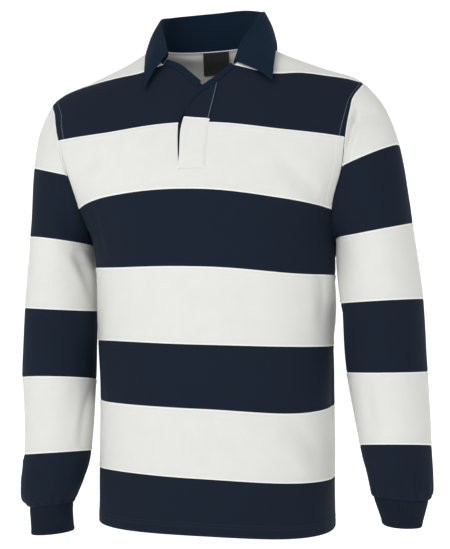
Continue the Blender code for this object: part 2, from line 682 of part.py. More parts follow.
def armhole_loop(arm):
    """The armhole's corners from the tip down the front and up the back: place, ring angle, normal."""
    first, second = side_z(0, arm), side_z(1, arm)
    third = side_z(2, arm)
    low = [second + (third - second) * share for share in stripe_shares(2)[1:3]]
    middle = between(first, second, UPPER_ROWS)
    front = eased(TIP_Z, first, UPPER_ROWS + 1) + middle[1:] + low
    back = eased(TIP_Z, YOKE_SIDE, YOKE_ROWS) + between(YOKE_SIDE, first, UPPER_ROWS)[1:] + middle[1:] + low
    corners = []
    for side, heights in ((-1, front), (1, back[-2:0:-1])):
        for z in heights:
            down = (TIP_Z - z) / (TIP_Z - underarm(arm))
            turn = acos(max(1 - 2 * down, -1.0))
            p = form_point(arm * edge_x(z, arm, side), z, side)
            out = form_normal(p)
            step = SEAM_GAP
            corners.append((pose(p), turn if side < 0 else 2 * pi - turn,
                            (pose(p + out * step) - pose(p)) / step))
    return corners


def ring_point(rings, arm, turn, k):
    """A point of the sleeve below the arm: around a ring, at a place along the ring table."""
    keys = range(len(rings))
    x, y, half_width, half_depth, outer, inner, lift = spline(keys, np.array(rings), np.array([k]))[0]
    z = (outer + inner) / 2 + (outer - inner) / 2 * cos(turn) + lift * sin(turn)
    return np.array([x + arm * cos(turn) * half_width, y - sin(turn) * half_depth, z])


def sleeve_point(corner, rings, arm, along):
    """A point of a sleeve column: 0 at the armhole, 1 at the first ring, 2 at the second and so on."""
    start, turn = corner[0], corner[1]
    if along >= 1:
        return ring_point(rings, arm, turn, along - 1)
    end = ring_point(rings, arm, turn, 0)
    reach = np.linalg.norm(end - start)
    top = TILT_RIGHT if arm < 0 else TILT_LEFT
    tilt = TILT_UNDER + (top - TILT_UNDER) * (1 + cos(turn)) / 2
    leave = np.array([arm * cos(tilt), LEAVE_DEPTH * (end[1] - start[1]) / reach, -sin(tilt)]) * reach
    arrive = unit(ring_point(rings, arm, turn, 0.1) - end) * reach
    t = along
    return ((1 + 2 * t) * (1 - t) ** 2 * start + t * (1 - t) ** 2 * leave
            + t * t * (3 - 2 * t) * end + t * t * (t - 1) * arrive)


def cap_height(p, cap):
    """How far a point lies above the plane of the first sleeve seam."""
    return p[2] - cap.z - cap.rise * (abs(p[0]) - abs(cap.x))


def cap_end(corner, rings, arm, cap):
    """Where the first sleeve seam crosses a column, or 0 where the column starts below it."""
    if cap_height(corner[0], cap) <= 0:
        return 0.0
    low, high = 0.0, 1.0
    for _ in range(40):
        middle = (low + high) / 2
        if cap_height(sleeve_point(corner, rings, arm, middle), cap) > 0:
            low = middle
        else:
            high = middle
    return low


def mix_corner(a, b, share):
    """A corner on the straight line between two of the armhole's corners."""
    turns = a[1], b[1]
    if abs(turns[0] - turns[1]) > pi:
        turns = [turn - 2 * pi if turn > pi else turn for turn in turns]
    return (a[0] + (b[0] - a[0]) * share, turns[0] + (turns[1] - turns[0]) * share,
            unit(a[2] + (b[2] - a[2]) * share))


def sleeve_normal(corners, j, rings, arm, along):
    """The outward direction of the sleeve at a column, leaning to the body's at the armhole's ridge."""
    step = 0.02
    count = len(corners)
    low = sleeve_point(corners[j], rings, arm, max(along - step, 0.0))
    high = sleeve_point(corners[j], rings, arm, min(along + step, len(rings)))
    before = sleeve_point(corners[(j - 1) % count], rings, arm, along)
    after = sleeve_point(corners[(j + 1) % count], rings, arm, along)
    out = unit(np.cross(high - low, after - before)) * -arm
    if along < LEAN_FADE:
        alike = float(out @ corners[j][2])
        lean = smoothstep(ALIKE_FROM, ALIKE_TO, alike) * (1 - along / LEAN_FADE)
        out = unit(out * (1 - lean) + corners[j][2] * lean)
    return out


def sleeve_skin(corners, columns, starts, ends, rows, rings, arm):
    """The points of a sleeve panel between two places along each of its columns, and their normals."""
    grid = np.zeros((rows + 1, len(columns), 3))
    out = np.zeros_like(grid)
    for n, (j, start, end) in enumerate(zip(columns, starts, ends)):
        for i, along in enumerate(between(start, end, rows)):
            grid[i, n] = sleeve_point(corners[j], rings, arm, along)
            out[i, n] = sleeve_normal(corners, j, rings, arm, along)
    return grid, out


def cap_corners(corners, rings, arm, cap):
    """The armhole's corners with two more, where the first sleeve seam meets the armhole."""
    found = []
    for a, b in zip(corners, corners[1:] + corners[:1]):
        found.append(a)
        high, low = cap_height(a[0], cap), cap_height(b[0], cap)
        if high * low < 0:
            found.append(mix_corner(a, b, high / (high - low)))
    return found


def add_cap(name, corners, feet, rings, arm):
    """The first sleeve panel: over the shoulder, between the armhole and the first sleeve seam."""
    first = feet.index(0.0)
    last = len(feet) - 1 - feet[::-1].index(0.0)
    columns = list(range(last, len(feet))) + list(range(0, first + 1))
    starts, ends = [0.0] * len(columns), [feet[j] for j in columns]
    grid, out = sleeve_skin(corners, columns, starts, ends, CAP_ROWS, rings, arm)
    for skin in (grid, out):
        skin[:, 0] += (skin[:, 1] - skin[:, 0]) * CAP_CORNER
        skin[:, -1] += (skin[:, -2] - skin[:, -1]) * CAP_CORNER
    grid = trim(grid)
    add_wall(name, grid, grid - out * JERSEY, white_jersey())


def add_sleeve(word, arm, rings, cap):
    """A sleeve of six panels and its cuff, set into the armhole."""
    corners = cap_corners(armhole_loop(arm), rings, arm, cap)
    feet = [cap_end(corner, rings, arm, cap) for corner in corners]
    add_cap(f"sleeve_{word}_1_white", corners, feet, rings, arm)
    whole = range(len(corners))
    starts = feet
    for n, (rows, end) in enumerate(zip(SLEEVE_ROWS, SLEEVE_ENDS)):
        ends = [end] * len(corners)
        grid, out = sleeve_skin(corners, whole, starts, ends, rows, rings, arm)
        grid = trim(grid, left=False, right=False)
        finish, colour = (white_jersey(), "white") if n % 2 else (navy_jersey(), "navy")
        add_wall(f"sleeve_{word}_{n + 2}_{colour}", grid, grid - out * JERSEY, finish, around=True)
        starts = ends
    ends = [CUFF_END] * len(corners)
    grid, out = sleeve_skin(corners, whole, starts, ends, CUFF_ROWS, rings, arm)
    grid = trim(grid - out * CUFF_EASE, left=False, right=False)
    add_wall(f"cuff_{word}", grid, grid - out * RIB, navy_rib(), around=True)


def build():
    for old in list(bpy.data.objects):
        bpy.data.objects.remove(old, do_unlink=True)
    shirt = bpy.data.collections.new("rugby_shirt")
    bpy.context.scene.collection.children.link(shirt)
    add_front()
    add_back()
    yoke = yoke_grid()
    add_body_wall("back_yoke_white", trim(yoke), white_jersey())
    add_band("neck_band_right", band_rows(BAND_RIGHT))
    add_band("neck_band_left", band_rows(BAND_LEFT, BAND_END))
    add_placket()
    add_label(yoke)
    add_collar(yoke[0, SHOULDER_COLUMNS:-SHOULDER_COLUMNS][::-1])
    add_sleeve("right", -1, SLEEVE_RIGHT, CAP_RIGHT)
    add_sleeve("left", 1, SLEEVE_LEFT, CAP_LEFT)


build()
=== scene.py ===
from collections import namedtuple
from math import cos, pi, radians, sin

import bpy
import numpy as np
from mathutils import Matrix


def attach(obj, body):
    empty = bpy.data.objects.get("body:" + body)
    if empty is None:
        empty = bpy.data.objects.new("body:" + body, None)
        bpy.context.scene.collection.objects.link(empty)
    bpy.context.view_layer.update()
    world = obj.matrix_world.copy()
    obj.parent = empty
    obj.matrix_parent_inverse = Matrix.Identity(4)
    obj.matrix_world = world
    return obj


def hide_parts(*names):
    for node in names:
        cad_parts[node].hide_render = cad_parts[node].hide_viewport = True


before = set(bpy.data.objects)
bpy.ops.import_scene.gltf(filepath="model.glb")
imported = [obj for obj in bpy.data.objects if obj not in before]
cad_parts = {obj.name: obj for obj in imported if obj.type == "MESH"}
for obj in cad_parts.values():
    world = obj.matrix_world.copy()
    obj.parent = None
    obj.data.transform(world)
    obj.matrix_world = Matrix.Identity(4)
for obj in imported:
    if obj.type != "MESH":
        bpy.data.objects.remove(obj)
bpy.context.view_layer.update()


# ---- The front ----------------------------------------------------------------------------------
# The front of the shirt is seven straight panels cut from heavy knitted cotton jersey, navy and
# off-white in turn, seamed edge to edge. The seam allowance is turned to the white side and
# topstitched there, and the first panel is in two halves beside the neck opening.


def rows_of(kind, *rows):
    return [kind(*row) for row in rows]


# The form of the filled-out body: horizontal sections about a middle plane. Above the shoulder tips
# the half width is where the shoulder ridge is at that height.
SQUARENESS = 2.3
Section = namedtuple("Section", "z half_width front back middle")
BODY = rows_of(
    Section,
    (-0.770, 0.185, 0.124, 0.118, 0.000),
    (-0.660, 0.184, 0.122, 0.112, 0.000),
    (-0.560, 0.182, 0.121, 0.104, 0.000),
    (-0.450, 0.183, 0.121, 0.099, 0.000),
    (-0.350, 0.187, 0.126, 0.104, 0.000),
    (-0.300, 0.192, 0.130, 0.109, 0.000),
    (-0.250, 0.214, 0.132, 0.114, 0.001),
    (-0.200, 0.240, 0.128, 0.118, 0.003),
    (-0.150, 0.258, 0.120, 0.117, 0.006),
    (-0.110, 0.259, 0.109, 0.111, 0.009),
    (-0.079, 0.246, 0.096, 0.104, 0.010),
    (-0.070, 0.234, 0.091, 0.101, 0.010),
    (-0.056, 0.197, 0.082, 0.096, 0.010),
    (-0.041, 0.160, 0.071, 0.089, 0.009),
    (-0.028, 0.130, 0.061, 0.082, 0.009),
    (-0.014, 0.104, 0.048, 0.073, 0.008),
    (0.000, 0.078, 0.036, 0.066, 0.007),
    (0.014, 0.062, 0.028, 0.058, 0.006),
)
TIP_Z = -0.079

# The armhole: how far inside the form its edge runs, from the shoulder tip (0) to the underarm (1).
Armhole = namedtuple("Armhole", "down right left back")
ARMHOLE = rows_of(
    Armhole,
    (0.000, 0.000, 0.000, 0.000),
    (0.090, 0.0215, 0.0210, 0.014),
    (0.180, 0.0330, 0.0285, 0.022),
    (0.320, 0.0405, 0.0300, 0.028),
    (0.550, 0.0350, 0.0200, 0.021),
    (0.800, 0.0167, 0.0115, 0.010),
    (0.930, 0.0065, 0.0050, 0.004),
    (1.000, 0.000, 0.000, 0.000),
)
UNDERARM_SHARE = 0.42    # how far down the third stripe the armholes end

# Heights of the stripe seams across the front, from the wearer's right to the left, and at the back.
Seam = namedtuple("Seam", "right right_mid front left_mid left back")
SEAMS = rows_of(
    Seam,
    (-0.1542, -0.1475, -0.1350, -0.1477, -0.1572, -0.1450),
    (-0.2600, -0.2430, -0.2353, -0.2490, -0.2640, -0.2500),
    (-0.3505, -0.3505, -0.3490, -0.3594, -0.3618, -0.3560),
    (-0.4647, -0.4617, -0.4640, -0.4673, -0.4700, -0.4680),
    (-0.5568, -0.5556, -0.5583, -0.5655, -0.5616, -0.5600),
    (-0.6623, -0.6580, -0.6610, -0.6682, -0.6709, -0.6680),
    (-0.7455, -0.7450, -0.7449, -0.7496, -0.7490, -0.7470),
)

# The forward shoulder seams from the shoulder tips to the neckline, and the neckline before them.
Point = namedtuple("Point", "x z")
SHOULDER = {
    -1: rows_of(Point, (-0.246, TIP_Z), (-0.225, -0.070), (-0.200, -0.063), (-0.160, -0.056),
                (-0.120, -0.0514), (-0.092, -0.0490), (-0.053, -0.038)),
    1: rows_of(Point, (0.246, TIP_Z), (0.225, -0.0745), (0.200, -0.0709), (0.160, -0.0653),
               (0.120, -0.0655), (0.060, -0.048)),
}
NECKLINE = {
    -1: rows_of(Point, (-0.053, -0.038), (-0.036, -0.043), (-0.012, -0.058), (0.014, -0.077)),
    1: rows_of(Point, (0.060, -0.048), (0.052, -0.054), (0.043, -0.062), (0.034, -0.070)),
}
OPENING_RIGHT, OPENING_LEFT = -0.0150, 0.024     # the edges of the front opening under the placket
OPENING_FOOT = -0.2013

# The worn pose: the shoulders roll and lean a little to the wearer's right over the level hem.
ROLL, ROLL_HEIGHTS = radians(2.2), (-0.150, -0.070)      # between these heights it comes in
LEAN, LEAN_HEIGHTS = -0.020, (-0.400, -0.130)

JERSEY = 0.0015          # wall of the knitted cloth
SEAM_SINK = 0.0006       # how deep the cloth rolls into a seam
ALLOWANCE_LIFT = 0.0007  # how far a turned allowance lifts the cloth above it
STRIPE_STITCH = 0.0032   # how far the topstitching of the stripe seams is from the seam
# How far each armhole's topstitching is from it, at the first stripe seam and at the shoulder tip.
ARMHOLE_STITCH = {-1: (0.0130, 0.0250), 1: (0.0100, 0.0090)}
HEM_DEPTH = 0.0200
HEM_LINES = (0.0012, 0.0062)     # how far the two lines of the hem's stitching are inside its depth
PUCKERS = {"seam": 0.00010, "side": 0.00016, "hem": 0.00022, "cap": 0.00030, "band": 0.00012,
           "placket": 0.00018}       # how high the puckers along each are
PUCKER_WAVES = ((1.0, 0.0131, 0.0), (0.8, 0.0197, 1.3), (0.6, 0.0091, 4.0))      # share, pitch and turn
SLOW_HEIGHT, QUICK_HEIGHT = 0.0007, 0.00012      # of the cloth's own unevenness
STRIP_DEPTH = 0.02       # a piece less deep than this is cut as a straight strip
PANEL_ROWS = 34          # the mesh's rows down every panel
SIDE_COLUMNS = 60        # and its columns on each side of the front opening
COLOUR = ("navy", "white")


def ease(start, end, at):
    t = np.clip((at - start) / (end - start), 0.0, 1.0)
    return t * t * (3 - 2 * t)


def spline(keys, values, at):
    """A smooth curve through a table's values, read at one place or at many."""
    keys, values = np.asarray(keys, float), np.asarray(values, float)
    slopes = np.gradient(values, keys, axis=0)
    at = np.clip(at, keys[0], keys[-1])
    i = np.clip(np.searchsorted(keys, at, side="right") - 1, 0, len(keys) - 2)
    span = keys[i + 1] - keys[i]
    t = (at - keys[i]) / span
    if values.ndim > 1:
        t, span = t[..., None], span[..., None]
    start = (1 + 2 * t) * (1 - t) ** 2 * values[i] + t * (1 - t) ** 2 * span * slopes[i]
    return start + t * t * (3 - 2 * t) * values[i + 1] + t * t * (t - 1) * span * slopes[i + 1]


def column(rows, name):
    return [getattr(row, name) for row in rows]


def body(name, z):
    return spline(column(BODY, "z"), column(BODY, name), z)


def form(x, z, side):
    """Points of the body's form at a width and height, on its front (-1) or its back (1)."""
    depth = body("front" if side < 0 else "back", z)
    out = 1 - np.minimum(abs(x) / body("half_width", z), 1.0) ** SQUARENESS
    return np.stack([x, body("middle", z) + side * depth * out ** (1 / SQUARENESS), z], axis=-1)


def level(points):
    """Below 1 inside the form, above 1 outside it."""
    x, y, z = np.moveaxis(points, -1, 0)
    offset = y - body("middle", z)
    depth = np.where(offset < 0, body("front", z), body("back", z))
    return abs(x / body("half_width", z)) ** SQUARENESS + abs(offset / depth) ** SQUARENESS


def unit(vectors):
    return vectors / np.maximum(np.linalg.norm(vectors, axis=-1, keepdims=True), 1e-12)


def outward(points):
    """The way out of the form at points on it."""
    slopes = [level(points + step) - level(points - step) for step in np.eye(3) * 0.002]
    return unit(np.stack(slopes, axis=-1))


def pose(points):
    """Leans and rolls points of the straight form into the worn pose."""
    x, y, z = np.moveaxis(points, -1, 0)
    roll = ROLL * ease(*ROLL_HEIGHTS, z)
    lean = LEAN * ease(*LEAN_HEIGHTS, z)
    return np.stack([x * np.cos(roll) - z * np.sin(roll) + lean, y, x * np.sin(roll) + z * np.cos(roll)],
                    axis=-1)


def side_z(seam, arm):
    """The height of a stripe seam at the wearer's right (-1) or left (1) side."""
    return SEAMS[seam].right if arm < 0 else SEAMS[seam].left


def underarm(arm):
    return side_z(1, arm) + (side_z(2, arm) - side_z(1, arm)) * UNDERARM_SHARE


def edge_x(z, arm, side):
    """How far out a panel reaches: the armhole's edge, or below it the side seam."""
    down = np.clip((TIP_Z - z) / (TIP_Z - underarm(arm)), 0.0, 1.0)
    name = "back" if side > 0 else "right" if arm < 0 else "left"
    return body("half_width", z) - spline(column(ARMHOLE, "down"), column(ARMHOLE, name), down)


def panel(across, z, side):
    """Points of the front or back, from their place between its two edges (-1 to 1)."""
    half = body("half_width", z)
    reach = np.where(across < 0, edge_x(z, -1, side), edge_x(z, 1, side))
    turn = np.arcsin((reach / half) ** (SQUARENESS / 2)) * across
    return form(half * np.sign(turn) * abs(np.sin(turn)) ** (2 / SQUARENESS), z, side)


def across_at(x, z, side):
    half = body("half_width", z)
    whole = np.arcsin((edge_x(z, np.sign(x), side) / half) ** (SQUARENESS / 2))
    return np.sign(x) * np.arcsin((abs(x) / half) ** (SQUARENESS / 2)) / whole


def seam_z(seam, across, side):
    row = SEAMS[seam]
    if side < 0:
        return spline([-1.0, -0.5, 0.0, 0.5, 1.0], row[:5], across)
    return row.back + (np.where(across < 0, row.right, row.left) - row.back) * across * across


def spaced(start, end, count, crowd=0.8):
    """Places from start to end, closer together at both ends, where the seams are."""
    t = np.linspace(0.0, 1.0, count + 1)
    return start + (end - start) * (t - crowd * np.sin(2 * pi * t) / (2 * pi))


def lengths(points):
    """How far each point is along its row, and how far down its column, measured along the cloth."""
    found = []
    for axis in (1, 0):
        steps = np.linalg.norm(np.diff(points, axis=axis), axis=2)
        found.append(np.insert(np.cumsum(steps, axis=axis), 0, 0.0, axis=axis))
    return found


def far_end(found, axis):
    """Distances along rows (1) or down columns (0), measured from their other end."""
    return (found[:, -1:] if axis else found[-1:]) - found


def sunk(distance, reach=0.0016):
    """The cloth rolls down into a plain seam."""
    return -SEAM_SINK * np.exp(-(distance / reach) ** 2)


def lifted(distance, start, end):
    """The cloth lies over an allowance, which ends between these distances from the seam."""
    return ALLOWANCE_LIFT * ease(0.0, 0.0012, distance) * (1 - ease(start, end, distance))


def stitched(distance, inset, depth=0.0004, width=0.0009):
    """The groove that a line of stitching draws into the cloth."""
    return -depth * np.exp(-((distance - inset) / width) ** 2)


def topstitched(distance, inset):
    """The cloth is lifted by the allowance under it, which is sewn through at the inset."""
    lift = lifted(distance, inset + 0.002, inset + 0.005)
    return sunk(distance, 0.0009) + lift + stitched(distance, inset)


def pucker(distance, along, height, reach=0.011):
    """Small uneven waves that a line of stitching draws into the cloth beside it."""
    wave = sum(share * np.sin(2 * pi * along / pitch + turn) for share, pitch, turn in PUCKER_WAVES)
    return height * wave * np.exp(-(distance / reach) ** 2) * ease(0.0, 0.002, distance)


def soft(points):
    """The slow unevenness of cloth that is filled out: under a millimetre, over a hand's width."""
    x, y, z = np.moveaxis(points, -1, 0)
    slow = np.sin(19 * x + 11 * z + 1.0) * np.sin(23 * z - 17 * y + 2.0)
    quick = np.sin(71 * x - 37 * z + 0.5) * np.sin(53 * z + 61 * y + 1.7)
    return SLOW_HEIGHT * slow + QUICK_HEIGHT * quick


# A crease: a line on the cloth from its start by its middle to its end, its width, and its height,
# which is below zero for a trough.
Crease = namedtuple("Crease", "start middle end width height")


def creased(points, lines):
    """How far the creases move each point. Each line has its path on the cloth, its width and height."""
    moved = np.zeros(points.shape[:2])
    for path, width, height in lines:
        nearest = np.full(points.shape[:2], 1e9)
        strength = np.zeros(points.shape[:2])
        for n, (a, b) in enumerate(zip(path, path[1:])):
            t = np.clip(((points - a) @ (b - a)) / ((b - a) @ (b - a)), 0.0, 1.0)
            distance = np.linalg.norm(points - (a + t[..., None] * (b - a)), axis=-1)
            fade = np.sin(pi * np.clip((n + t) / (len(path) - 1), 0.0, 1.0)) ** 0.7
            closer = distance < nearest
            nearest = np.where(closer, distance, nearest)
            strength = np.where(closer, fade, strength)
        moved += height * strength * np.exp(-(nearest / width) ** 2)
    return moved


def crease_lines(creases, place):
    """The creases of a table as paths on the cloth; place turns a table's two numbers into points."""
    lines = []
    t = np.linspace(0.0, 1.0, 10)[:, None]
    for crease in creases:
        start, middle, end = (np.array(p, float) for p in crease[:3])
        bend = 2 * middle - (start + end) / 2
        path = (1 - t) ** 2 * start + 2 * t * (1 - t) * bend + t * t * end
        lines.append((place(path[:, 0], path[:, 1]), crease.width, crease.height))
    return lines


class Signal:
    """An output in a material's node tree. Arithmetic on signals adds the nodes that work it out."""

    def __init__(self, tree, socket=None):
        self.tree, self.socket = tree, socket

    def node(self, kind, settings, inputs, output=0):
        made = self.tree.nodes.new("ShaderNode" + kind)
        for name, value in settings.items():
            setattr(made, name, value)
        for name, value in inputs.items():
            if isinstance(value, Signal):
                self.tree.links.new(value.socket, made.inputs[name])
            else:
                made.inputs[name].default_value = value
        return Signal(self.tree, made.outputs[output])

    def math(self, operation, *others):
        return self.node("Math", {"operation": operation}, dict(enumerate((self, *others))))

    def __add__(self, other):
        return self.math("ADD", other)

    def __sub__(self, other):
        return self.math("SUBTRACT", other)

    def __rsub__(self, other):
        return self.node("Math", {"operation": "SUBTRACT"}, {0: other, 1: self})

    def __mul__(self, other):
        return self.math("MULTIPLY", other)

    def __truediv__(self, other):
        return self.math("DIVIDE", other)

    __radd__, __rmul__ = __add__, __mul__

    def parts(self):
        split = self.node("SeparateXYZ", {}, {0: self})
        return [Signal(self.tree, socket) for socket in split.socket.node.outputs]

    def uv(self, name):
        """The two distances that one of the piece's own maps holds."""
        return self.node("UVMap", {"uv_map": name}, {}).parts()[:2]

    def noise(self, scale, detail, roughness=0.5):
        place = self.node("TexCoord", {}, {}, output=3)
        return self.node("TexNoise", {}, {"Vector": place, "Scale": scale, "Detail": detail,
                                          "Roughness": roughness})

    def wave(self, pitch):
        return (self * (2 * pi / pitch)).math("SINE")

    def line(self, centre, reach):
        """1 on a line at this distance, and 0 from its reach outwards."""
        away = (self - centre).math("ABSOLUTE")
        return self.node("MapRange", {"interpolation_type": "SMOOTHSTEP"},
                         {"Value": away, "From Min": reach, "From Max": reach * 0.4})

    def dashes(self, pitch, share):
        """1 along each stitch and 0 between two stitches."""
        return ((self / pitch).math("FRACT") - 0.5).line(0.0, share / 2)


def mixed(share, first, second):
    return share.node("Mix", {"data_type": "RGBA", "clamp_factor": True},
                      {"Factor": share, 6: first, 7: second}, output=2)


def shade(colour, factor):
    return tuple(min(c * factor, 1.0) for c in colour[:3]) + (1.0,)


# A fabric: its name, its colour and its thread's, its roughness, and its sheen with the sheen's tint.
Fabric = namedtuple("Fabric", "name colour thread roughness sheen tint")
NAVY = (0.0090, 0.0148, 0.0268, 1.0)
WHITE = (0.733, 0.738, 0.706, 1.0)
NAVY_JERSEY = Fabric("navy_jersey", NAVY, (0.018, 0.031, 0.050, 1.0), 0.90, 0.035,
                     (0.45, 0.62, 0.75, 1.0))
WHITE_JERSEY = Fabric("white_jersey", WHITE, (0.86, 0.86, 0.84, 1.0), 0.92, 0.05, (1.0, 1.0, 1.0, 1.0))
WALE, COURSE = 0.0013, 0.0010    # a column and a row of the knit
STITCH, STITCH_SHARE = 0.0028, 0.82      # a stitch, and how much of it the thread shows


def start_material(fabric):
    material = bpy.data.materials.new(fabric.name)
    material.use_nodes = True
    shader = material.node_tree.nodes["Principled BSDF"]
    shader.inputs["Sheen Weight"].default_value = fabric.sheen
    shader.inputs["Sheen Roughness"].default_value = 0.45
    shader.inputs["Sheen Tint"].default_value = fabric.tint
    shader.inputs["Specular IOR Level"].default_value = 0.10
    return material, Signal(material.node_tree)


def finish_material(material, fabric, colour, roughness, height, distance):
    """Links what a fabric's material needs, and gives it back with its slot."""
    bump = height.node("Bump", {}, {"Strength": 0.8, "Distance": distance, "Height": height})
    shader = material.node_tree.nodes["Principled BSDF"]
    for name, signal in (("Base Color", colour), ("Roughness", roughness), ("Normal", bump)):
        signal.tree.links.new(signal.socket, shader.inputs[name])
    return material, fabric.name


def jersey(fabric, seams, armhole_thread):
    """Knitted jersey, stitched along its stripe seams where seams is 1, and along its hem where 0."""
    material, start = start_material(fabric)
    across, down = start.uv("cloth")
    top, foot = start.uv("seams")
    left, right = start.uv("sides")
    mottle = start.noise(38.0, 4.0, 0.6)
    fuzz = start.noise(1500.0, 3.0, 0.7)
    wale = across.wave(WALE)
    loop = down * (2 * pi / COURSE) + wale.math("ABSOLUTE") * 2.2
    knit = wale * wale * 0.5 + loop.math("SINE") * 0.35
    edge = top.math("MINIMUM", foot)
    side = left.math("MINIMUM", right)
    stitches = across.dashes(STITCH, STITCH_SHARE)
    seam_line = edge.line(STRIPE_STITCH, 0.00045) * stitches * seams
    side_line = side.line(0.0, 0.00056) * down.dashes(STITCH, STITCH_SHARE)
    first, second = (foot.line(HEM_DEPTH - inset, 0.00050) for inset in HEM_LINES)
    hem_line = (first + second) * (1 - seams) * stitches
    # Painted highlight: a thin lighter line along the seam edges on the white side, standing in for
    # light caught by the raised seam edge.
    painted_seam_highlight = edge.line(0.0010, 0.0017) * seams
    base = mixed(mottle, shade(fabric.colour, 0.96), shade(fabric.colour, 1.04))
    base = mixed((fuzz - 0.35) * 0.4, base, shade(fabric.colour, 1.20))
    base = mixed(painted_seam_highlight, base, shade(fabric.colour, 1.25))
    base = mixed(seam_line + hem_line, base, fabric.thread)
    base = mixed(side_line, base, armhole_thread)
    roughness = fabric.roughness + (mottle - 0.5) * 0.08
    height = knit * 0.30 + fuzz * 0.55 + (seam_line + side_line + hem_line) * 1.2
    return finish_material(material, fabric, base, roughness, height, 0.00030)


navy_jersey = jersey(NAVY_JERSEY, 0.0, (0.30, 0.38, 0.46, 1.0))
white_jersey = jersey(WHITE_JERSEY, 1.0, WHITE_JERSEY.thread)
JERSEYS = (navy_jersey, white_jersey)


def turned(first, second, facing):
    """The angle from one direction to another, measured in the cloth, whose facing is given."""
    first = first - facing * (first * facing).sum(axis=-1, keepdims=True)
    return np.arctan2((np.cross(first, second) * facing).sum(axis=-1), (first * second).sum(axis=-1))


def rolled_out(path, facing, heading):
    """Lays a path in the cloth out flat: its headings there, and its places after each step."""
    steps = np.diff(path, axis=0)
    turns = turned(steps[:-1], steps[1:], facing[1:-1])
    headings = heading + np.concatenate([0 * turns[:1], np.cumsum(turns, axis=0)])
    reach = np.linalg.norm(steps, axis=-1)[..., None]
    return headings, np.cumsum(reach * np.stack([np.cos(headings), np.sin(headings)], axis=-1), axis=0)


def cut_size(points):
    """The smallest rectangle that the cut lies in, laid flat outwards from the piece's middle column."""
    facing = unit(np.cross(np.gradient(points, axis=1), points[-1] - points[0]))
    middle = points.shape[1] // 2
    headings, places = rolled_out(points[:, middle], facing[:, middle], pi / 2)
    headings = np.append(headings, headings[-1])
    starts = np.vstack([[[0.0, 0.0]], places])
    down = np.diff(points[:, middle], axis=0)
    down = np.vstack([down, down[-1:]])
    laid_out = [starts]
    for way in (slice(middle, None), slice(middle, None, -1)):
        path, faces = np.swapaxes(points[:, way], 0, 1), np.swapaxes(facing[:, way], 0, 1)
        heading = headings + turned(down, path[1] - path[0], faces[0])
        laid_out.append((starts + rolled_out(path, faces, heading)[1]).reshape(-1, 2))
    places = np.concatenate(laid_out)
    rectangles = []
    for spin in np.radians(np.arange(-44.0, 45.0, 2.0)):
        sideways, along = np.array([np.cos(spin), np.sin(spin)]), np.array([-np.sin(spin), np.cos(spin)])
        rectangles.append((np.ptp(places @ sideways), np.ptp(places @ along)))
    return min(rectangles, key=np.prod)


def cloth(node, points, maps, wall, fabric, missing=None, held="hung", offset=-1.0):
    """Makes one piece of cloth from rows of points that run left to right as seen from outside."""
    material, slot = fabric
    columns = points.shape[1]
    i, j = np.mgrid[0:len(points) - 1, 0:columns - 1]
    upper = i * columns + j
    corners = np.stack([upper, upper + columns, upper + columns + 1, upper + 1], axis=-1)
    kept = corners[~missing] if missing is not None else corners.reshape(-1, 4)
    mesh = bpy.data.meshes.new(node + "_cloth")
    mesh.from_pydata(points.reshape(-1, 3).tolist(), [], kept.tolist())
    for word, (u, v) in maps.items():
        layer = mesh.uv_layers.new(name=word)
        layer.data.foreach_set("uv", np.stack([u.ravel()[kept], v.ravel()[kept]], axis=-1).ravel())
    mesh.materials.append(material)
    piece = bpy.data.objects.new(node + "_cloth", mesh)
    bpy.context.collection.objects.link(piece)
    bpy.ops.object.select_all(action="DESELECT")
    piece.select_set(True)
    bpy.context.view_layer.objects.active = piece
    bpy.ops.object.mode_set(mode="EDIT")
    bpy.ops.mesh.select_all(action="SELECT")
    bpy.ops.mesh.remove_doubles(threshold=0.00003)
    bpy.ops.mesh.delete_loose()
    bpy.ops.object.mode_set(mode="OBJECT")
    thickness = piece.modifiers.new("wall", "SOLIDIFY")
    thickness.thickness = wall
    thickness.offset = offset
    bpy.ops.object.modifier_apply(modifier="wall")
    bpy.ops.object.shade_smooth_by_angle(angle=radians(60))
    piece.select_set(False)
    across, down = lengths(points)
    straight = held == "folded" or down.max() < STRIP_DEPTH      # the collar and the bands
    flat = (across.max(), down.max()) if straight else cut_size(points)
    cells = np.cross(points[1:, :-1] - points[:-1, :-1], points[:-1, 1:] - points[:-1, :-1])
    area = min(np.linalg.norm(cells, axis=2).sum(), flat[0] * flat[1])
    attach(piece, "root")
    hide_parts(node)


# The front is pulled down softly from the arms and is nearly smooth below; places are x and z.
FRONT_CREASES = rows_of(
    Crease,
    ((-0.150, -0.250), (-0.146, -0.300), (-0.140, -0.345), 0.009, 0.0022),
    ((-0.166, -0.245), (-0.160, -0.290), (-0.156, -0.330), 0.007, -0.0018),
    ((-0.172, -0.225), (-0.150, -0.214), (-0.118, -0.190), 0.010, 0.0016),
    ((-0.188, -0.200), (-0.160, -0.196), (-0.130, -0.168), 0.009, -0.0014),
    ((0.186, -0.235), (0.160, -0.215), (0.132, -0.180), 0.013, -0.0036),
    ((0.180, -0.262), (0.152, -0.248), (0.112, -0.228), 0.012, 0.0024),
    ((0.167, -0.345), (0.174, -0.385), (0.169, -0.435), 0.008, -0.0028),
    ((0.154, -0.360), (0.160, -0.400), (0.160, -0.440), 0.008, 0.0014),
    ((-0.1815, -0.345), (-0.1815, -0.460), (-0.1815, -0.630), 0.015, 0.0044),
    ((-0.158, -0.470), (-0.152, -0.520), (-0.156, -0.565), 0.010, 0.0016),
    ((0.010, -0.585), (0.050, -0.612), (0.090, -0.650), 0.016, -0.0016),
    ((0.120, -0.575), (0.150, -0.600), (0.170, -0.640), 0.013, -0.0022),
    ((0.100, -0.600), (0.135, -0.628), (0.160, -0.662), 0.012, 0.0014),
    ((-0.020, -0.083), (-0.024, -0.110), (-0.022, -0.130), 0.007, 0.0012),
    ((-0.080, -0.072), (-0.060, -0.086), (-0.036, -0.092), 0.010, -0.0012),
)

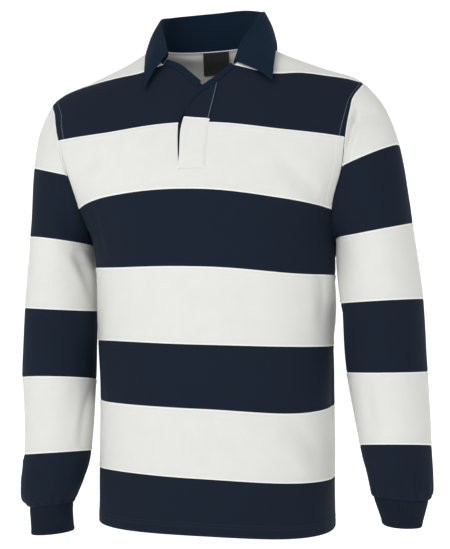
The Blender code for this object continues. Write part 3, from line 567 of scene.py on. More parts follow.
front_lines = crease_lines(FRONT_CREASES, lambda x, z: form(x, z, -1))


def seam_reliefs(points, top, foot):
    """The relief of a panel's upper and lower edges, each given as a function of distance."""
    across, upper = lengths(points)
    lower = far_end(upper, 0)
    relief = top(upper) + foot(lower)
    relief += pucker(upper, across, PUCKERS["seam"]) + pucker(lower, across + 0.05, PUCKERS["seam"])
    return relief, across, upper, lower


def stitched_edge(distance):
    return topstitched(distance, STRIPE_STITCH)


def hem_edge(distance):
    """The hem is turned up and coverstitched with two lines."""
    lines = sum(stitched(distance, HEM_DEPTH - inset, 0.0005, 0.0010) for inset in HEM_LINES)
    return sunk(distance, 0.0012) + lifted(distance, HEM_DEPTH, HEM_DEPTH + 0.002) + lines


def body_piece(node, points, white, creases, missing=None, hem=False, open_sides=(False, False),
               bare=0.0):
    """Adds seams, puckers and creases to a front or back panel, poses it and makes its cloth.

    Where bare is 1 along its upper edge there is no topstitching and no painted seam highlight."""
    edge = stitched_edge if white else sunk
    relief, across, upper, lower = seam_reliefs(points, edge, hem_edge if hem else edge)
    far = np.ones_like(upper)
    sewn = (upper + bare, lower) if white else (far, lower if hem else far)
    from_side = []
    for end, distance in enumerate((across, far_end(across, 1))):
        outer = points[:, -end]
        arm = -1 if outer[len(outer) // 2, 0] < 0 else 1
        armhole = ease(underarm(arm) - 0.004, underarm(arm) + 0.004, outer[:, 2])[:, None]
        inset = np.interp(outer[:, 2], (side_z(0, arm), TIP_Z), ARMHOLE_STITCH[arm])[:, None]
        if open_sides[end]:
            relief += sunk(distance)
            armhole = 0 * armhole
        else:
            relief += armhole * topstitched(distance, inset) + (1 - armhole) * sunk(distance)
            relief += pucker(distance, upper, PUCKERS["side"])
        sewn_through = armhole * (outer[:, 2] > side_z(1, arm))[:, None]
        from_side.append(distance - inset + (1 - sewn_through))
    if hem:
        relief += pucker(np.abs(lower - HEM_DEPTH), across, PUCKERS["hem"], 0.014)
    moved = points + outward(points) * (relief + soft(points) + creased(points, creases))[..., None]
    maps = {"cloth": (across, upper), "seams": sewn, "sides": from_side}
    cloth(node, pose(moved), maps, JERSEY, JERSEYS[white], missing=missing)


def along_seam(points, at):
    """The heights of a seam given by its named places, at many widths."""
    ordered = sorted(points, key=lambda p: p.x)
    return spline(column(ordered, "x"), column(ordered, "z"), at)


SHOULDER_SPAN, NECK_SPAN = 5, 3      # the shares of the first panel's width under shoulder and neckline


def first_front(node, arm):
    """One half of the first panel: shoulder seam and neckline above, the first stripe seam below."""
    inner = across_at(OPENING_RIGHT if arm < 0 else OPENING_LEFT, SEAMS[0].front, -1)
    whole = SHOULDER_SPAN + NECK_SPAN
    place = spaced(0.0, whole, SIDE_COLUMNS, 0.6)
    across = arm + (inner - arm) * place / whole
    shoulder, neck = SHOULDER[arm], NECKLINE[arm]
    x = np.interp(place, [0, SHOULDER_SPAN, whole], [shoulder[0].x, shoulder[-1].x, neck[-1].x])
    z = np.where(place < SHOULDER_SPAN, along_seam(shoulder, x), along_seam(neck, x))
    end = panel(across, seam_z(0, across, -1), -1)
    share = spaced(0.0, 1.0, PANEL_ROWS)[:, None]
    height = z + (end[:, 2] - z) * share
    width = x + (end[:, 0] - x) * share
    arm_z = TIP_Z + (end[0, 2] - TIP_Z) * share ** 1.5
    nearness = np.clip(1 - place, 0.0, 1.0) ** 2
    height = height + (arm_z - height[:, :1]) * nearness
    width = width + (arm * edge_x(arm_z, arm, -1) - width[:, :1]) * nearness
    points = form(width, height, -1)
    if arm > 0:
        points = points[:, ::-1]
    body_piece(node, points, False, front_lines, open_sides=(arm > 0, arm < 0))


def stripe_points(number, across, side, start=0.0):
    share = spaced(start, 1.0, PANEL_ROWS)[:, None]
    top, foot = seam_z(number - 1, across, side), seam_z(number, across, side)
    z = top + (foot - top) * share
    return panel(across + 0 * z, z, side)


first_front("front_1_navy_right", -1)
first_front("front_1_navy_left", 1)
opening_right = across_at(OPENING_RIGHT, SEAMS[0].front, -1)
opening_left = across_at(OPENING_LEFT, SEAMS[0].front, -1)
front_across = np.concatenate([
    spaced(-1.0, opening_right, SIDE_COLUMNS, 0.6),
    np.linspace(opening_right, opening_left, 9)[1:-1],
    spaced(opening_left, 1.0, SIDE_COLUMNS, 0.6),
])
for number in range(1, 7):
    white = number % 2 == 1
    points = stripe_points(number, front_across, -1)
    missing = None
    if number == 1:
        middle = (points[:-1, :-1] + points[1:, 1:]) / 2
        beside = abs(np.arange(len(front_across) - 1) - SIDE_COLUMNS - 3.5) < 4
        missing = (middle[..., 2] > OPENING_FOOT) & beside[None, :]
    body_piece(f"front_{number + 1}_{COLOUR[white]}", points, white, front_lines,
               missing=missing, hem=number == 6)


# ---- The back and its yoke ----------------------------------------------------------------------
# The back has seven stripe panels that meet the front's at the side seams. Above them a white yoke of
# the same jersey goes over the shoulders to the forward shoulder seams and carries the back neckline.

YOKE_SIDE, YOKE_BACK = -0.100, -0.056
HIGH_POINT = Point(0.078, 0.0)
NECK_SIDE = 0.012
SIDE_SPAN, BACK_SPAN = 2, 4          # the yoke's shares beside the neck and at the back of the neck
BACK_CREASES = rows_of(
    Crease,
    ((-0.190, -0.240), (-0.150, -0.215), (-0.100, -0.170), 0.014, -0.0024),
    ((-0.196, -0.265), (-0.150, -0.246), (-0.110, -0.215), 0.012, 0.0020),
    ((0.192, -0.245), (0.156, -0.210), (0.115, -0.165), 0.013, -0.0022),
    ((0.180, -0.275), (0.140, -0.262), (0.095, -0.236), 0.012, 0.0018),
    ((-0.120, -0.330), (-0.060, -0.352), (0.010, -0.350), 0.020, -0.0024),
    ((-0.020, -0.385), (0.060, -0.400), (0.130, -0.380), 0.018, -0.0022),
    ((-0.140, -0.420), (-0.080, -0.446), (-0.010, -0.452), 0.017, -0.0026),
    ((0.010, -0.480), (0.070, -0.500), (0.140, -0.488), 0.016, -0.0020),
    ((-0.150, -0.530), (-0.120, -0.600), (-0.126, -0.680), 0.016, 0.0020),
    ((0.110, -0.560), (0.126, -0.630), (0.120, -0.710), 0.015, 0.0018),
    ((-0.030, -0.560), (-0.022, -0.620), (-0.028, -0.690), 0.018, -0.0016),
    ((0.198, -0.262), (0.1910, -0.300), (0.1872, -0.334), 0.012, 0.0044),
    ((0.1832, -0.376), (0.1818, -0.412), (0.1803, -0.452), 0.013, 0.0028),
    ((0.1795, -0.480), (0.1795, -0.572), (0.1795, -0.665), 0.022, 0.0030),
    ((-0.075, -0.004), (-0.048, -0.009), (-0.016, -0.012), 0.007, -0.0032),
    ((0.030, -0.013), (0.048, -0.010), (0.068, -0.004), 0.007, -0.0030),
)

back_lines = crease_lines(BACK_CREASES, lambda x, z: form(x, z, 1))


def halved(low, high, is_low):
    """The places where is_low changes from true to false."""
    for _ in range(40):
        middle = (low + high) / 2
        found = is_low(middle)
        low, high = np.where(found, middle, low), np.where(found, high, middle)
    return low


def over_shoulder(x, y):
    """The form's points straight above places in plan."""
    low, high = np.full(np.shape(x), -0.30), np.full(np.shape(x), BODY[-1].z)
    z = halved(low, high, lambda at: level(np.stack([x, y, at], axis=-1)) < 1)
    return np.stack([x, y, z], axis=-1)


def yoke_half(arm, place):
    """Half of the yoke's upper edge, at places from the shoulder tip (0) to the centre back."""
    shoulder = SHOULDER[arm]
    corner = shoulder[-1]
    x = np.interp(place, [0, SHOULDER_SPAN], [shoulder[0].x, corner.x])
    seam = form(x, along_seam(shoulder, x), -1)
    share = np.clip((place - SHOULDER_SPAN) / SIDE_SPAN, 0.0, 1.0)
    x = corner.x + (arm * HIGH_POINT.x - corner.x) * share + arm * NECK_SIDE * share * (1 - share)
    beside = form(x, corner.z + (HIGH_POINT.z - corner.z) * share, -1)
    turn = pi / 2 * (1 - np.clip((place - SHOULDER_SPAN - SIDE_SPAN) / BACK_SPAN, 0.0, 1.0))
    behind = form(arm * HIGH_POINT.x * np.sin(turn) ** (2 / SQUARENESS), 0 * turn + HIGH_POINT.z, 1)
    where = place[:, None]
    after = np.where(where <= SHOULDER_SPAN + SIDE_SPAN, beside, behind)
    return np.where(where <= SHOULDER_SPAN, seam, after)


def yoke_points():
    """The yoke's points, and which of its columns are at the neck."""
    whole = SHOULDER_SPAN + SIDE_SPAN + BACK_SPAN
    beside_neck = np.linspace(SHOULDER_SPAN, whole, 31)[1:]
    place = np.concatenate([spaced(0.0, SHOULDER_SPAN, 34, 0.5), beside_neck])
    left, right = yoke_half(1, place), yoke_half(-1, place)
    start = np.concatenate([left, right[-2::-1]])
    across = np.concatenate([1 - place / whole, (place / whole - 1)[-2::-1]])
    end = panel(across, YOKE_BACK + (YOKE_SIDE - YOKE_BACK) * across ** 2, 1)
    share = spaced(0.0, 1.0, PANEL_ROWS)[:, None, None]
    straight = start + (end - start) * share
    from_tip = np.concatenate([place, place[-2::-1]])
    z = TIP_Z + (YOKE_SIDE - TIP_Z) * share[:, 0, 0] ** 1.5
    armholes = {arm: form(arm * edge_x(z, arm, 1), z, 1) for arm in (-1, 1)}
    for edge, arm in ((0, 1), (-1, -1)):
        near = np.clip(1 - from_tip, 0.0, 1.0) ** 2 * (np.sign(start[:, 0]) == arm)
        straight = straight + (armholes[arm] - straight[:, edge])[:, None, :] * near[None, :, None]
    points = over_shoulder(straight[..., 0], straight[..., 1])
    points[0], points[-1] = start, end
    points[:, 0], points[:, -1] = armholes[1], armholes[-1]
    return points, from_tip > SHOULDER_SPAN


points, at_neck = yoke_points()
body_piece("back_yoke_white", points, True, back_lines, bare=1.0 * at_neck)
back_across = spaced(1.0, -1.0, 2 * SIDE_COLUMNS, 0.6)
SEAMS.append(Seam(*([YOKE_SIDE] * 5), YOKE_BACK))    # the last row, -1, is where the first stripe starts
for number in range(7):
    white = number % 2 == 1
    points = stripe_points(number, back_across, 1)
    body_piece(f"back_{number + 1}_{COLOUR[white]}", points, white, back_lines, hem=number == 6)
SEAMS.pop()


# ---- The sleeves --------------------------------------------------------------------------------
# Each sleeve is six rings of the same jersey, sewn like the body's stripes and closed by a seam under
# the arm. The first is the cap, set into the armhole, and the last is gathered a little into the cuff.

Ring = namedtuple("Ring", "x y half_width half_depth outer inner lift")
RINGS = {
    -1: rows_of(
        Ring,
        (-0.2500, -0.002, 0.0510, 0.068, -0.3025, -0.3150, 0.004),
        (-0.2518, -0.008, 0.0560, 0.065, -0.4145, -0.4190, 0.002),
        (-0.2514, -0.018, 0.0585, 0.061, -0.5260, -0.5250, 0.008),
        (-0.2500, -0.032, 0.0535, 0.054, -0.6460, -0.6365, 0.006),
        (-0.2548, -0.040, 0.0495, 0.050, -0.6870, -0.6800, 0.006),
        (-0.2590, -0.042, 0.0430, 0.046, -0.7130, -0.7050, 0.005),
        (-0.2552, -0.044, 0.0350, 0.040, -0.7260, -0.7170, 0.004),
        (-0.2512, -0.048, 0.0340, 0.037, -0.7675, -0.7600, 0.002),
    ),
    1: rows_of(
        Ring,
        (0.2480, -0.008, 0.0560, 0.068, -0.2835, -0.3040, -0.003),
        (0.2590, -0.012, 0.0610, 0.065, -0.3975, -0.4050, 0.002),
        (0.2661, -0.018, 0.0605, 0.061, -0.5055, -0.5085, 0.003),
        (0.2796, -0.032, 0.0532, 0.054, -0.6140, -0.6170, 0.008),
        (0.2862, -0.037, 0.0495, 0.050, -0.6530, -0.6540, 0.006),
        (0.2895, -0.041, 0.0465, 0.047, -0.6780, -0.6770, 0.005),
        (0.2890, -0.044, 0.0420, 0.042, -0.6930, -0.6900, 0.004),
        (0.2900, -0.048, 0.0294, 0.036, -0.7335, -0.7300, 0.002),
    ),
}
CapSeam = namedtuple("CapSeam", "x z rise")
CAP = {-1: CapSeam(-0.2285, -0.2065, 0.22), 1: CapSeam(0.209, -0.1975, 0.43)}
TILT = {-1: radians(53), 1: radians(39)}
TILT_UNDER = radians(85)
CAP_FORWARD = 0.35       # how much of the way forward each line down the cap sets out on
SLEEVE_END = 8.0         # where the cuffs end
CUFF_PLACE = 7.0         # where the cuffs are sewn on, counted in rings from the armhole
CAP_COLUMNS, RING_COLUMNS = 120, 96
GATHERS = ((1.0, 17, 0.0), (0.7, 11, 2.0), (0.5, 29, 1.0))   # share, number round the sleeve and turn
GATHER_HEIGHT = 0.0011
# Places are degrees round the sleeve from its outer side, 90 at the front, and rings down the sleeve.
SLEEVE_CREASES = {
    -1: rows_of(
        Crease,
        ((129, 1.17), (149, 1.38), (167, 1.84), 0.009, -0.0036),
        ((115, 1.22), (133, 1.43), (151, 1.76), 0.008, 0.0022),
        ((145, 1.10), (163, 1.28), (177, 1.56), 0.007, 0.0018),
        ((78, 2.12), (100, 2.24), (118, 2.36), 0.010, -0.0022),
        ((84, 2.02), (108, 2.12), (130, 2.22), 0.009, 0.0014),
        ((176, 3.10), (156, 3.42), (150, 3.96), 0.007, -0.0038),
        ((146, 3.15), (139, 3.50), (134, 3.90), 0.008, 0.0016),
        ((-4, 2.98), (0, 3.52), (4, 4.15), 0.034, -0.0076),
        ((0, 0.30), (0, 0.62), (2, 0.96), 0.034, -0.0042),
        ((180, 1.15), (180, 1.75), (180, 2.35), 0.020, 0.0014),
        ((62, 4.30), (84, 4.60), (96, 5.40), 0.009, -0.0018),
        ((104, 4.30), (112, 4.80), (108, 5.60), 0.008, 0.0018),
        ((250, 1.60), (222, 1.75), (200, 1.98), 0.013, -0.0030),
        ((262, 2.10), (236, 2.22), (206, 2.30), 0.014, -0.0034),
        ((244, 2.52), (222, 2.60), (196, 2.66), 0.011, -0.0026),
        ((300, 3.10), (268, 3.30), (238, 3.60), 0.012, -0.0020),
        ((100, 0.30), (112, 0.55), (126, 0.90), 0.010, -0.0020),
        ((262, 0.35), (246, 0.60), (230, 0.92), 0.011, -0.0022),
    ),
    1: rows_of(
        Crease,
        ((26, 0.20), (42, 0.13), (60, 0.04), 0.007, -0.0044),
        ((32, 0.27), (49, 0.20), (67, 0.11), 0.008, 0.0022),
        ((40, 0.074), (63, 0.080), (90, 0.062), 0.0046, -0.0068),
        ((42, 0.124), (64, 0.130), (88, 0.112), 0.0060, 0.0026),
        ((74, 0.28), (88, 0.46), (98, 0.74), 0.010, -0.0022),
        ((88, 0.50), (106, 0.80), (124, 1.10), 0.010, -0.0020),
        ((60, 2.06), (76, 2.30), (84, 2.62), 0.013, 0.0012),
        ((110, 3.06), (118, 3.40), (112, 3.90), 0.010, -0.0026),
        ((94, 4.25), (104, 4.60), (100, 5.60), 0.009, -0.0018),
        ((58, 4.40), (66, 4.90), (62, 5.70), 0.009, 0.0014),
        ((256, 1.55), (226, 1.72), (204, 1.96), 0.013, -0.0030),
        ((268, 2.16), (240, 2.26), (208, 2.40), 0.013, -0.0034),
        ((300, 2.60), (262, 2.74), (226, 2.80), 0.012, -0.0022),
        ((262, 0.30), (248, 0.60), (228, 0.94), 0.011, -0.0022),
        ((174, 0.85), (177, 1.50), (181, 2.12), 0.026, 0.0050),
        ((0, 0.22), (0, 0.50), (0, 0.88), 0.030, -0.0016),
    ),
}


def armhole_point(turn, arm):
    """The posed armhole: from the tip (0) down the front to the underarm (pi) and up the back."""
    down = (1 - np.cos(turn)) / 2
    z = TIP_Z + (underarm(arm) - TIP_Z) * down
    front = form(arm * edge_x(z, arm, -1), z, -1)
    back = form(arm * edge_x(z, arm, 1), z, 1)
    return pose(np.where((np.sin(turn) >= 0)[..., None], front, back))


def ring_point(turn, place, arm):
    """Points on the sleeve below the arm; place counts the rings down from the first, 1."""
    rings = RINGS[arm]
    read = spline(range(len(rings)), np.array(rings), place - 1)
    x, y, half_width, half_depth, outer, inner, lift = np.moveaxis(read, -1, 0)
    z = (outer + inner) / 2 + (outer - inner) / 2 * np.cos(turn) + lift * np.sin(turn)
    return np.stack([x + arm * np.cos(turn) * half_width, y - np.sin(turn) * half_depth, z], axis=-1)


def sleeve(turn, place, arm):
    """Points on the sleeve, round it by turn and down it by place, from the armhole (0)."""
    turn, place = np.broadcast_arrays(turn, place)
    below = ring_point(turn, np.maximum(place, 1.0), arm)
    start = armhole_point(turn, arm)
    end = ring_point(turn, np.ones_like(place), arm)
    reach = np.linalg.norm(end - start, axis=-1)
    tilt = TILT_UNDER + (TILT[arm] - TILT_UNDER) * (1 + np.cos(turn)) / 2
    forward = CAP_FORWARD * (end[..., 1] - start[..., 1]) / reach
    leave = np.stack([arm * np.cos(tilt), forward, -np.sin(tilt)], axis=-1) * reach[..., None]
    arrive = unit(ring_point(turn, np.full_like(place, 1.1), arm) - end) * reach[..., None]
    t = np.clip(place, 0.0, 1.0)[..., None]
    above = ((1 + 2 * t) * (1 - t) ** 2 * start + t * (1 - t) ** 2 * leave
             + t * t * (3 - 2 * t) * end + t * t * (t - 1) * arrive)
    return np.where((place >= 1)[..., None], below, above)


def sleeve_outward(turn, place, arm):
    step = 0.012
    lower, upper = np.minimum(place + step, SLEEVE_END), np.maximum(place - step, 0.0)
    down = sleeve(turn, lower, arm) - sleeve(turn, upper, arm)
    round_it = sleeve(turn + step, place, arm) - sleeve(turn - step, place, arm)
    return unit(np.cross(down, round_it) * -arm)


def above_cap(turn, place, arm):
    """How far points of the sleeve are above the plane of the first sleeve seam."""
    points = sleeve(turn, place, arm)
    cap = CAP[arm]
    return points[..., 2] - cap.z - cap.rise * (abs(points[..., 0]) - abs(cap.x))


def cap_foot(turn, arm):
    place = halved(0 * turn, 0 * turn + 1, lambda at: above_cap(turn, at, arm) > 0)
    return np.where(above_cap(turn, 0 * turn, arm) > 0, place, 0.0)


def as_seen(points, maps, arm):
    """The left sleeve's rows are turned round, so that they too run left to right from outside."""
    if arm < 0:
        return points, maps
    return points[:, ::-1], {name: (u[:, ::-1], v[:, ::-1]) for name, (u, v) in maps.items()}


def sleeve_piece(node, turn, share_top, share_foot, arm, white, shape=None, seam=True):
    """A ring, or the cap, of a sleeve: turns across it, and its upper and lower places at each turn."""
    share = spaced(0.0, 1.0, PANEL_ROWS)[:, None]
    place = share_top + (share_foot - share_top) * share
    turns = turn + 0 * place
    points, out = sleeve(turns, place, arm), sleeve_outward(turns, place, arm)
    edge = stitched_edge if white else sunk
    relief, across, upper, lower = seam_reliefs(points, edge, edge)
    if seam:
        relief += sunk(across, 0.0022) + sunk(far_end(across, 1), 0.0022)
    if shape is not None:
        relief += shape(across, upper, lower, turns)
    lines = crease_lines(SLEEVE_CREASES[arm], lambda degrees, at: sleeve(np.radians(degrees), at, arm))
    moved = points + out * (relief + soft(points) + creased(points, lines))[..., None]
    far = np.ones_like(upper)
    sewn = (upper, lower) if white else (far, far)
    maps = {"cloth": (across, upper), "seams": sewn, "sides": (far, far)}
    cloth(node, *as_seen(moved, maps, arm), JERSEY, JERSEYS[white])


def eased_in(across, upper, lower, turns):
    """The cap's fullness is eased into the armhole in small soft waves."""
    return pucker(upper, across, PUCKERS["cap"], 0.016)


def gathered(across, upper, lower, turns):
    """The sleeve end is drawn in to the cuff's width, which leaves short pleats above it."""
    wave = sum(share * np.sin(number * turns + turn) for share, number, turn in GATHERS)
    return GATHER_HEIGHT * wave * np.exp(-(lower / 0.020) ** 2) * ease(0.0, 0.004, lower)


for word, arm in (("right", -1), ("left", 1)):
    back_end, front_end = (float(halved(np.array(0.02 * way), np.array((pi - 0.02) * way),
                                        lambda at: above_cap(at, 0 * at, arm) > 0)) for way in (-1, 1))
    cap_turn = spaced(back_end, front_end, CAP_COLUMNS, 0.4)
    sleeve_piece(f"sleeve_{word}_1_white", cap_turn, 0 * cap_turn, cap_foot(cap_turn, arm), arm, True,
                 shape=eased_in, seam=False)
    ring_turn = np.linspace(-pi, pi, RING_COLUMNS + 1)
    places = [cap_foot(ring_turn, arm), 1.0, 2.0, 3.0, 4.0, CUFF_PLACE]
    for n in range(1, 6):
        white = n % 2 == 0
        start, end = places[n - 1] + 0 * ring_turn, places[n] + 0 * ring_turn
        sleeve_piece(f"sleeve_{word}_{n + 1}_{COLOUR[white]}", ring_turn, start, end, arm, white,
                     shape=gathered if n == 5 else None)


# ---- The cuffs ----------------------------------------------------------------------------------
# Each cuff is a tube of navy two-by-two rib, folded double at its open end and sewn to the gathered
# sleeve. Its ribs run down the arm and it steps in from the sleeve's end.

CUFF_EASE = 0.0016       # how far the rib steps in from the sleeve's end
RIB_WALL = 0.0020
RIBS, RIB_HEIGHT = 58, 0.00025
RIB_COLUMNS = 6          # the mesh's columns across each rib
NAVY_RIB = Fabric("navy_rib", shade(NAVY, 0.95), NAVY_JERSEY.thread, 0.90, 0.035, NAVY_JERSEY.tint)


def rib(fabric):
    """Rib knit, whose ribs are in the cloth itself: drawn here are its loops, its fuzz, a mottle, and
    painted shade down the valleys between the ribs.
    """
    material, start = start_material(fabric)
    _, down = start.uv("cloth")
    ribs, _ = start.uv("ribs")
    fuzz = start.noise(1400.0, 3.0, 0.7)
    mottle = start.noise(60.0, 3.0)
    painted_rib_valley_shade = (ribs * (2 * pi)).math("COSINE") * -0.5 + 0.5
    loops = down.wave(COURSE)
    base = mixed(mottle, shade(fabric.colour, 0.88), shade(fabric.colour, 1.14))
    # Painted shade: the colour darkens down each valley between the ribs.
    base = mixed(painted_rib_valley_shade * 0.6, base, shade(fabric.colour, 0.62))
    roughness = fabric.roughness + (fuzz - 0.5) * 0.06
    return finish_material(material, fabric, base, roughness, loops * 0.3 + fuzz * 0.6, 0.00030)


navy_rib = rib(NAVY_RIB)
for word, arm in (("right", -1), ("left", 1)):
    turn = np.linspace(-pi, pi, RIBS * RIB_COLUMNS + 1)
    place = spaced(CUFF_PLACE, CUFF_PLACE + 1, 22, 0.7)[:, None]
    turns = turn + 0 * place
    points, out = sleeve(turns, place, arm), sleeve_outward(turns, place, arm)
    across, upper = lengths(points)
    lower = far_end(upper, 0)
    ribs = RIBS * (turns + pi) / (2 * pi)
    relief = RIB_HEIGHT * np.cos(2 * pi * ribs) * ease(0.0, 0.003, upper) - CUFF_EASE
    relief += 0.0008 * np.sin(3 * turns + 40 * upper) * ease(0.0, 0.01, upper)
    # The fold at the open end is a little full, and rolls in at the last.
    relief += 0.0010 * np.exp(-(lower / 0.006) ** 2) - 0.0013 * np.exp(-(lower / 0.0012) ** 2)
    relief += sunk(upper, 0.0020)
    moved = points + out * relief[..., None]
    maps = {"cloth": (across, upper), "ribs": (ribs, upper)}
    cloth(f"cuff_{word}", *as_seen(moved, maps, arm), RIB_WALL, navy_rib, held="stretched")


# ---- The neck bands and the placket -------------------------------------------------------------
# A narrow navy band of woven drill binds each front neck edge. The placket is a jersey strip, navy
# above and white below, sewn down on its left side and lapped over a navy under placket.

BAND, BAND_WALL = 0.010, 0.0010
LAY_GAP = 0.0006         # between the body and what lies along it
BAND_LIFT, PLACKET_LIFT = 0.0013, 0.0017     # from there to their outer faces
BANDS = {
    -1: rows_of(Point, (-0.0470, -0.0302), (-0.022, -0.0425), (-0.008, -0.0545), (0.012, -0.0725)),
    1: rows_of(Point, (-0.0040, -0.1085), (-0.0003, -0.1010), (0.0040, -0.0935), (0.012, -0.0820),
               (0.032, -0.0660), (0.054, -0.0450)),
}
BAND_STITCH = 0.0022     # how far a band's stitching is from its edges
BAND_END = {-1: BAND, 1: 0.003}      # how wide each band is at its right end
BAND_TAPER = 0.4
PLACKET_FREE = rows_of(
    Point, (-0.0150, -0.205), (-0.0117, -0.186), (-0.0103, -0.163), (-0.0098, -0.151), (-0.0086, -0.139),
    (-0.0069, -0.127), (-0.0055, -0.118), (-0.0021, -0.104), (0.0023, -0.097), (0.0060, -0.090),
)
PLACKET_SEAM = Point(0.0325, -0.1313)
PLACKET_FALL, PLACKET_SLANT = 0.10, 0.10
PLACKET_FOOT = -0.205
PLACKET_STITCH, FOOT_STITCH = 0.0026, 0.0040     # from the placket's sewn edge and from its foot
PLACKET_DROP = 0.0014    # from its face down to its sewn edges
UNDER_RIGHT, UNDER_LEFT = -0.032, 0.036
UNDER_TOP, UNDER_FOOT = -0.081, -0.196
NAVY_DRILL = Fabric("navy_drill", (0.0034, 0.0132, 0.0288, 1.0), (0.008, 0.021, 0.039, 1.0), 0.80, 0.04,
                    (0.50, 0.70, 0.85, 1.0))
TWILL = 0.0007
EDGE_STITCH = 0.0055     # how far the collar's topstitching is from its edge


def drill(fabric):
    """Woven drill: a fine diagonal rib in the weave, and stitching in its own colour near its edges."""
    material, start = start_material(fabric)
    across, down = start.uv("cloth")
    edge, _ = start.uv("edge")
    mottle = start.noise(70.0, 4.0, 0.6)
    slub = start.noise(1100.0, 2.0)
    weave = (across + down).wave(TWILL)
    stitching = edge.line(EDGE_STITCH, 0.00045) * (across + down).dashes(STITCH, 0.8)
    base = mixed(mottle, shade(fabric.colour, 0.86), shade(fabric.colour, 1.16))
    base = mixed((slub - 0.3) * 0.6, base, shade(fabric.colour, 1.3))
    base = mixed(stitching, base, fabric.thread)
    roughness = fabric.roughness + (mottle - 0.5) * 0.1
    height = weave * 0.3 + slub * 0.4 + stitching * 1.2
    return finish_material(material, fabric, base, roughness, height, 0.00025)


navy_drill = drill(NAVY_DRILL)


def laid(node, points, above, wall, fabric, relief, maps):
    """A strip of cloth that lies along the form, above it or below it."""
    moved = points + outward(points) * (above + relief + soft(points))[..., None]
    cloth(node, pose(moved), maps, wall, fabric, held="laid")


def rolled_down(distance, drop, reach=0.0035):
    """A sewn-down edge bends towards the cloth under it."""
    return -drop * (1 - ease(0.0, reach, distance))


def band_edges(arm, count=90):
    """The upper and lower edges of a neck band in x and z, from its right end to its left."""
    path = BANDS[arm]
    share = spaced(0.0, 1.0, count, 0.6)
    x = path[0].x + (path[-1].x - path[0].x) * share
    z = along_seam(path, x)
    run, fall = np.gradient(x), np.gradient(z)
    width = (BAND_END[arm] + (BAND - BAND_END[arm]) * ease(0.0, BAND_TAPER, share)) / np.hypot(run, fall)
    return np.stack([x, z]), np.stack([x + fall * width, z - run * width])


for word, arm in (("right", -1), ("left", 1)):
    upper_edge, lower_edge = band_edges(arm)
    share = spaced(0.0, 1.0, 12, 0.5)[None, :, None]
    x, z = upper_edge[:, None] + (lower_edge - upper_edge)[:, None] * share
    points = form(x, z, -1)
    across, down = lengths(points)
    edge = np.minimum(down, far_end(down, 0))
    relief = rolled_down(edge, 0.0008) + stitched(edge, BAND_STITCH, 0.0003, 0.0007)
    relief += pucker(edge, across, PUCKERS["band"])
    laid(f"neck_band_{word}", points, LAY_GAP + BAND_LIFT, BAND_WALL, navy_drill, relief,
         {"cloth": (across, down), "edge": (edge + EDGE_STITCH - BAND_STITCH, edge)})


def placket_x(share, z):
    """A place between the placket's free edge (0) and its sewn edge (1) at a height."""
    free = along_free_edge(z)
    sewn = PLACKET_SEAM.x + PLACKET_SLANT * (z - PLACKET_SEAM.z)
    return free + (sewn - free) * share


def along_free_edge(z):
    return spline(column(PLACKET_FREE, "z"), column(PLACKET_FREE, "x"), z)


share = spaced(0.0, 1.0, 36, 0.7)
seam = PLACKET_SEAM.z + PLACKET_FALL * (PLACKET_SEAM.x - placket_x(share, PLACKET_SEAM.z))
band_x, band_z = band_edges(1)[1]
tops = 0 * share + PLACKET_FREE[-1].z
for _ in range(20):
    tops = np.interp(placket_x(share, tops), band_x, band_z) - 2 * LAY_GAP
feet = 0 * seam + PLACKET_FOOT
for node, top, foot, white in (("placket_navy", tops, seam, False), ("placket_white", seam, feet, True)):
    z = top + (foot - top) * spaced(0.0, 1.0, 36, 0.7)[:, None]
    points = form(placket_x(share, z), z, -1)
    across, down = lengths(points)
    free, sewn, lower = across, far_end(across, 1), far_end(down, 0)
    relief = sunk(free, 0.0012) + rolled_down(sewn, PLACKET_DROP) + sunk(down, 0.0010)
    relief += rolled_down(lower, PLACKET_DROP) if white else sunk(lower, 0.0010)
    relief += stitched(sewn, PLACKET_STITCH, 0.0003, 0.0008)
    relief += pucker(sewn, down, PUCKERS["placket"])
    relief += ease(0.016, 0.0, free) * (0.0010 + 0.0004 * np.sin(70 * down))     # the free edge lifts
    if white:
        relief += stitched(lower, FOOT_STITCH, 0.0003, 0.0008)
    far = np.ones_like(down)
    maps = {"cloth": (across, down), "seams": (down if white else far, far),
            "sides": (far, sewn - PLACKET_STITCH)}
    laid(node, points, LAY_GAP + PLACKET_LIFT, JERSEY, JERSEYS[white], relief, maps)

x, z = np.meshgrid(np.linspace(UNDER_RIGHT, UNDER_LEFT, 20), np.linspace(UNDER_TOP, UNDER_FOOT, 30))
points = form(x, z, -1)
across, down = lengths(points)
far = np.ones_like(down)
laid("placket_under", points, -LAY_GAP - PLACKET_LIFT, JERSEY, navy_jersey, 0 * down,
     {"cloth": (across, down), "seams": (far, far), "sides": (far, far)})


# ---- The neck label -----------------------------------------------------------------------------
# The label is a small rectangle of black woven polyester tape, sewn along its edges to the inside of
# the yoke at the centre back. It is left blank.

LABEL_WIDTH, LABEL_TOP, LABEL_FOOT = 0.043, -0.0010, -0.034
LABEL_MIDDLE, LABEL_LEAN = 0.0033, 0.21
LABEL_DEPTH, LABEL_WALL = 0.0019, 0.0010     # from the gap in to its hidden face, and its wall
WARP, WEFT = 0.0004, 0.0005
BLACK_TAPE = Fabric("black_tape", (0.040, 0.040, 0.043, 1.0), (0.09, 0.09, 0.095, 1.0), 0.55, 0.0,
                    (1.0, 1.0, 1.0, 1.0))


def tape(fabric):
    """Woven tape: a flat fine weave with a faint sheen and a line of stitching."""
    material, start = start_material(fabric)
    across, down = start.uv("cloth")
    edge, _ = start.uv("edge")
    weave = across.wave(WARP) * down.wave(WEFT)
    stitching = edge.line(0.0015, 0.0004) * (across + down).dashes(0.0022, 0.8)
    base = mixed(weave * 0.5 + 0.5, shade(fabric.colour, 0.8), shade(fabric.colour, 1.3))
    base = mixed(stitching, base, fabric.thread)
    roughness, height = fabric.roughness + weave * 0.08, weave * 0.4 + stitching
    return finish_material(material, fabric, base, roughness, height, 0.00015)


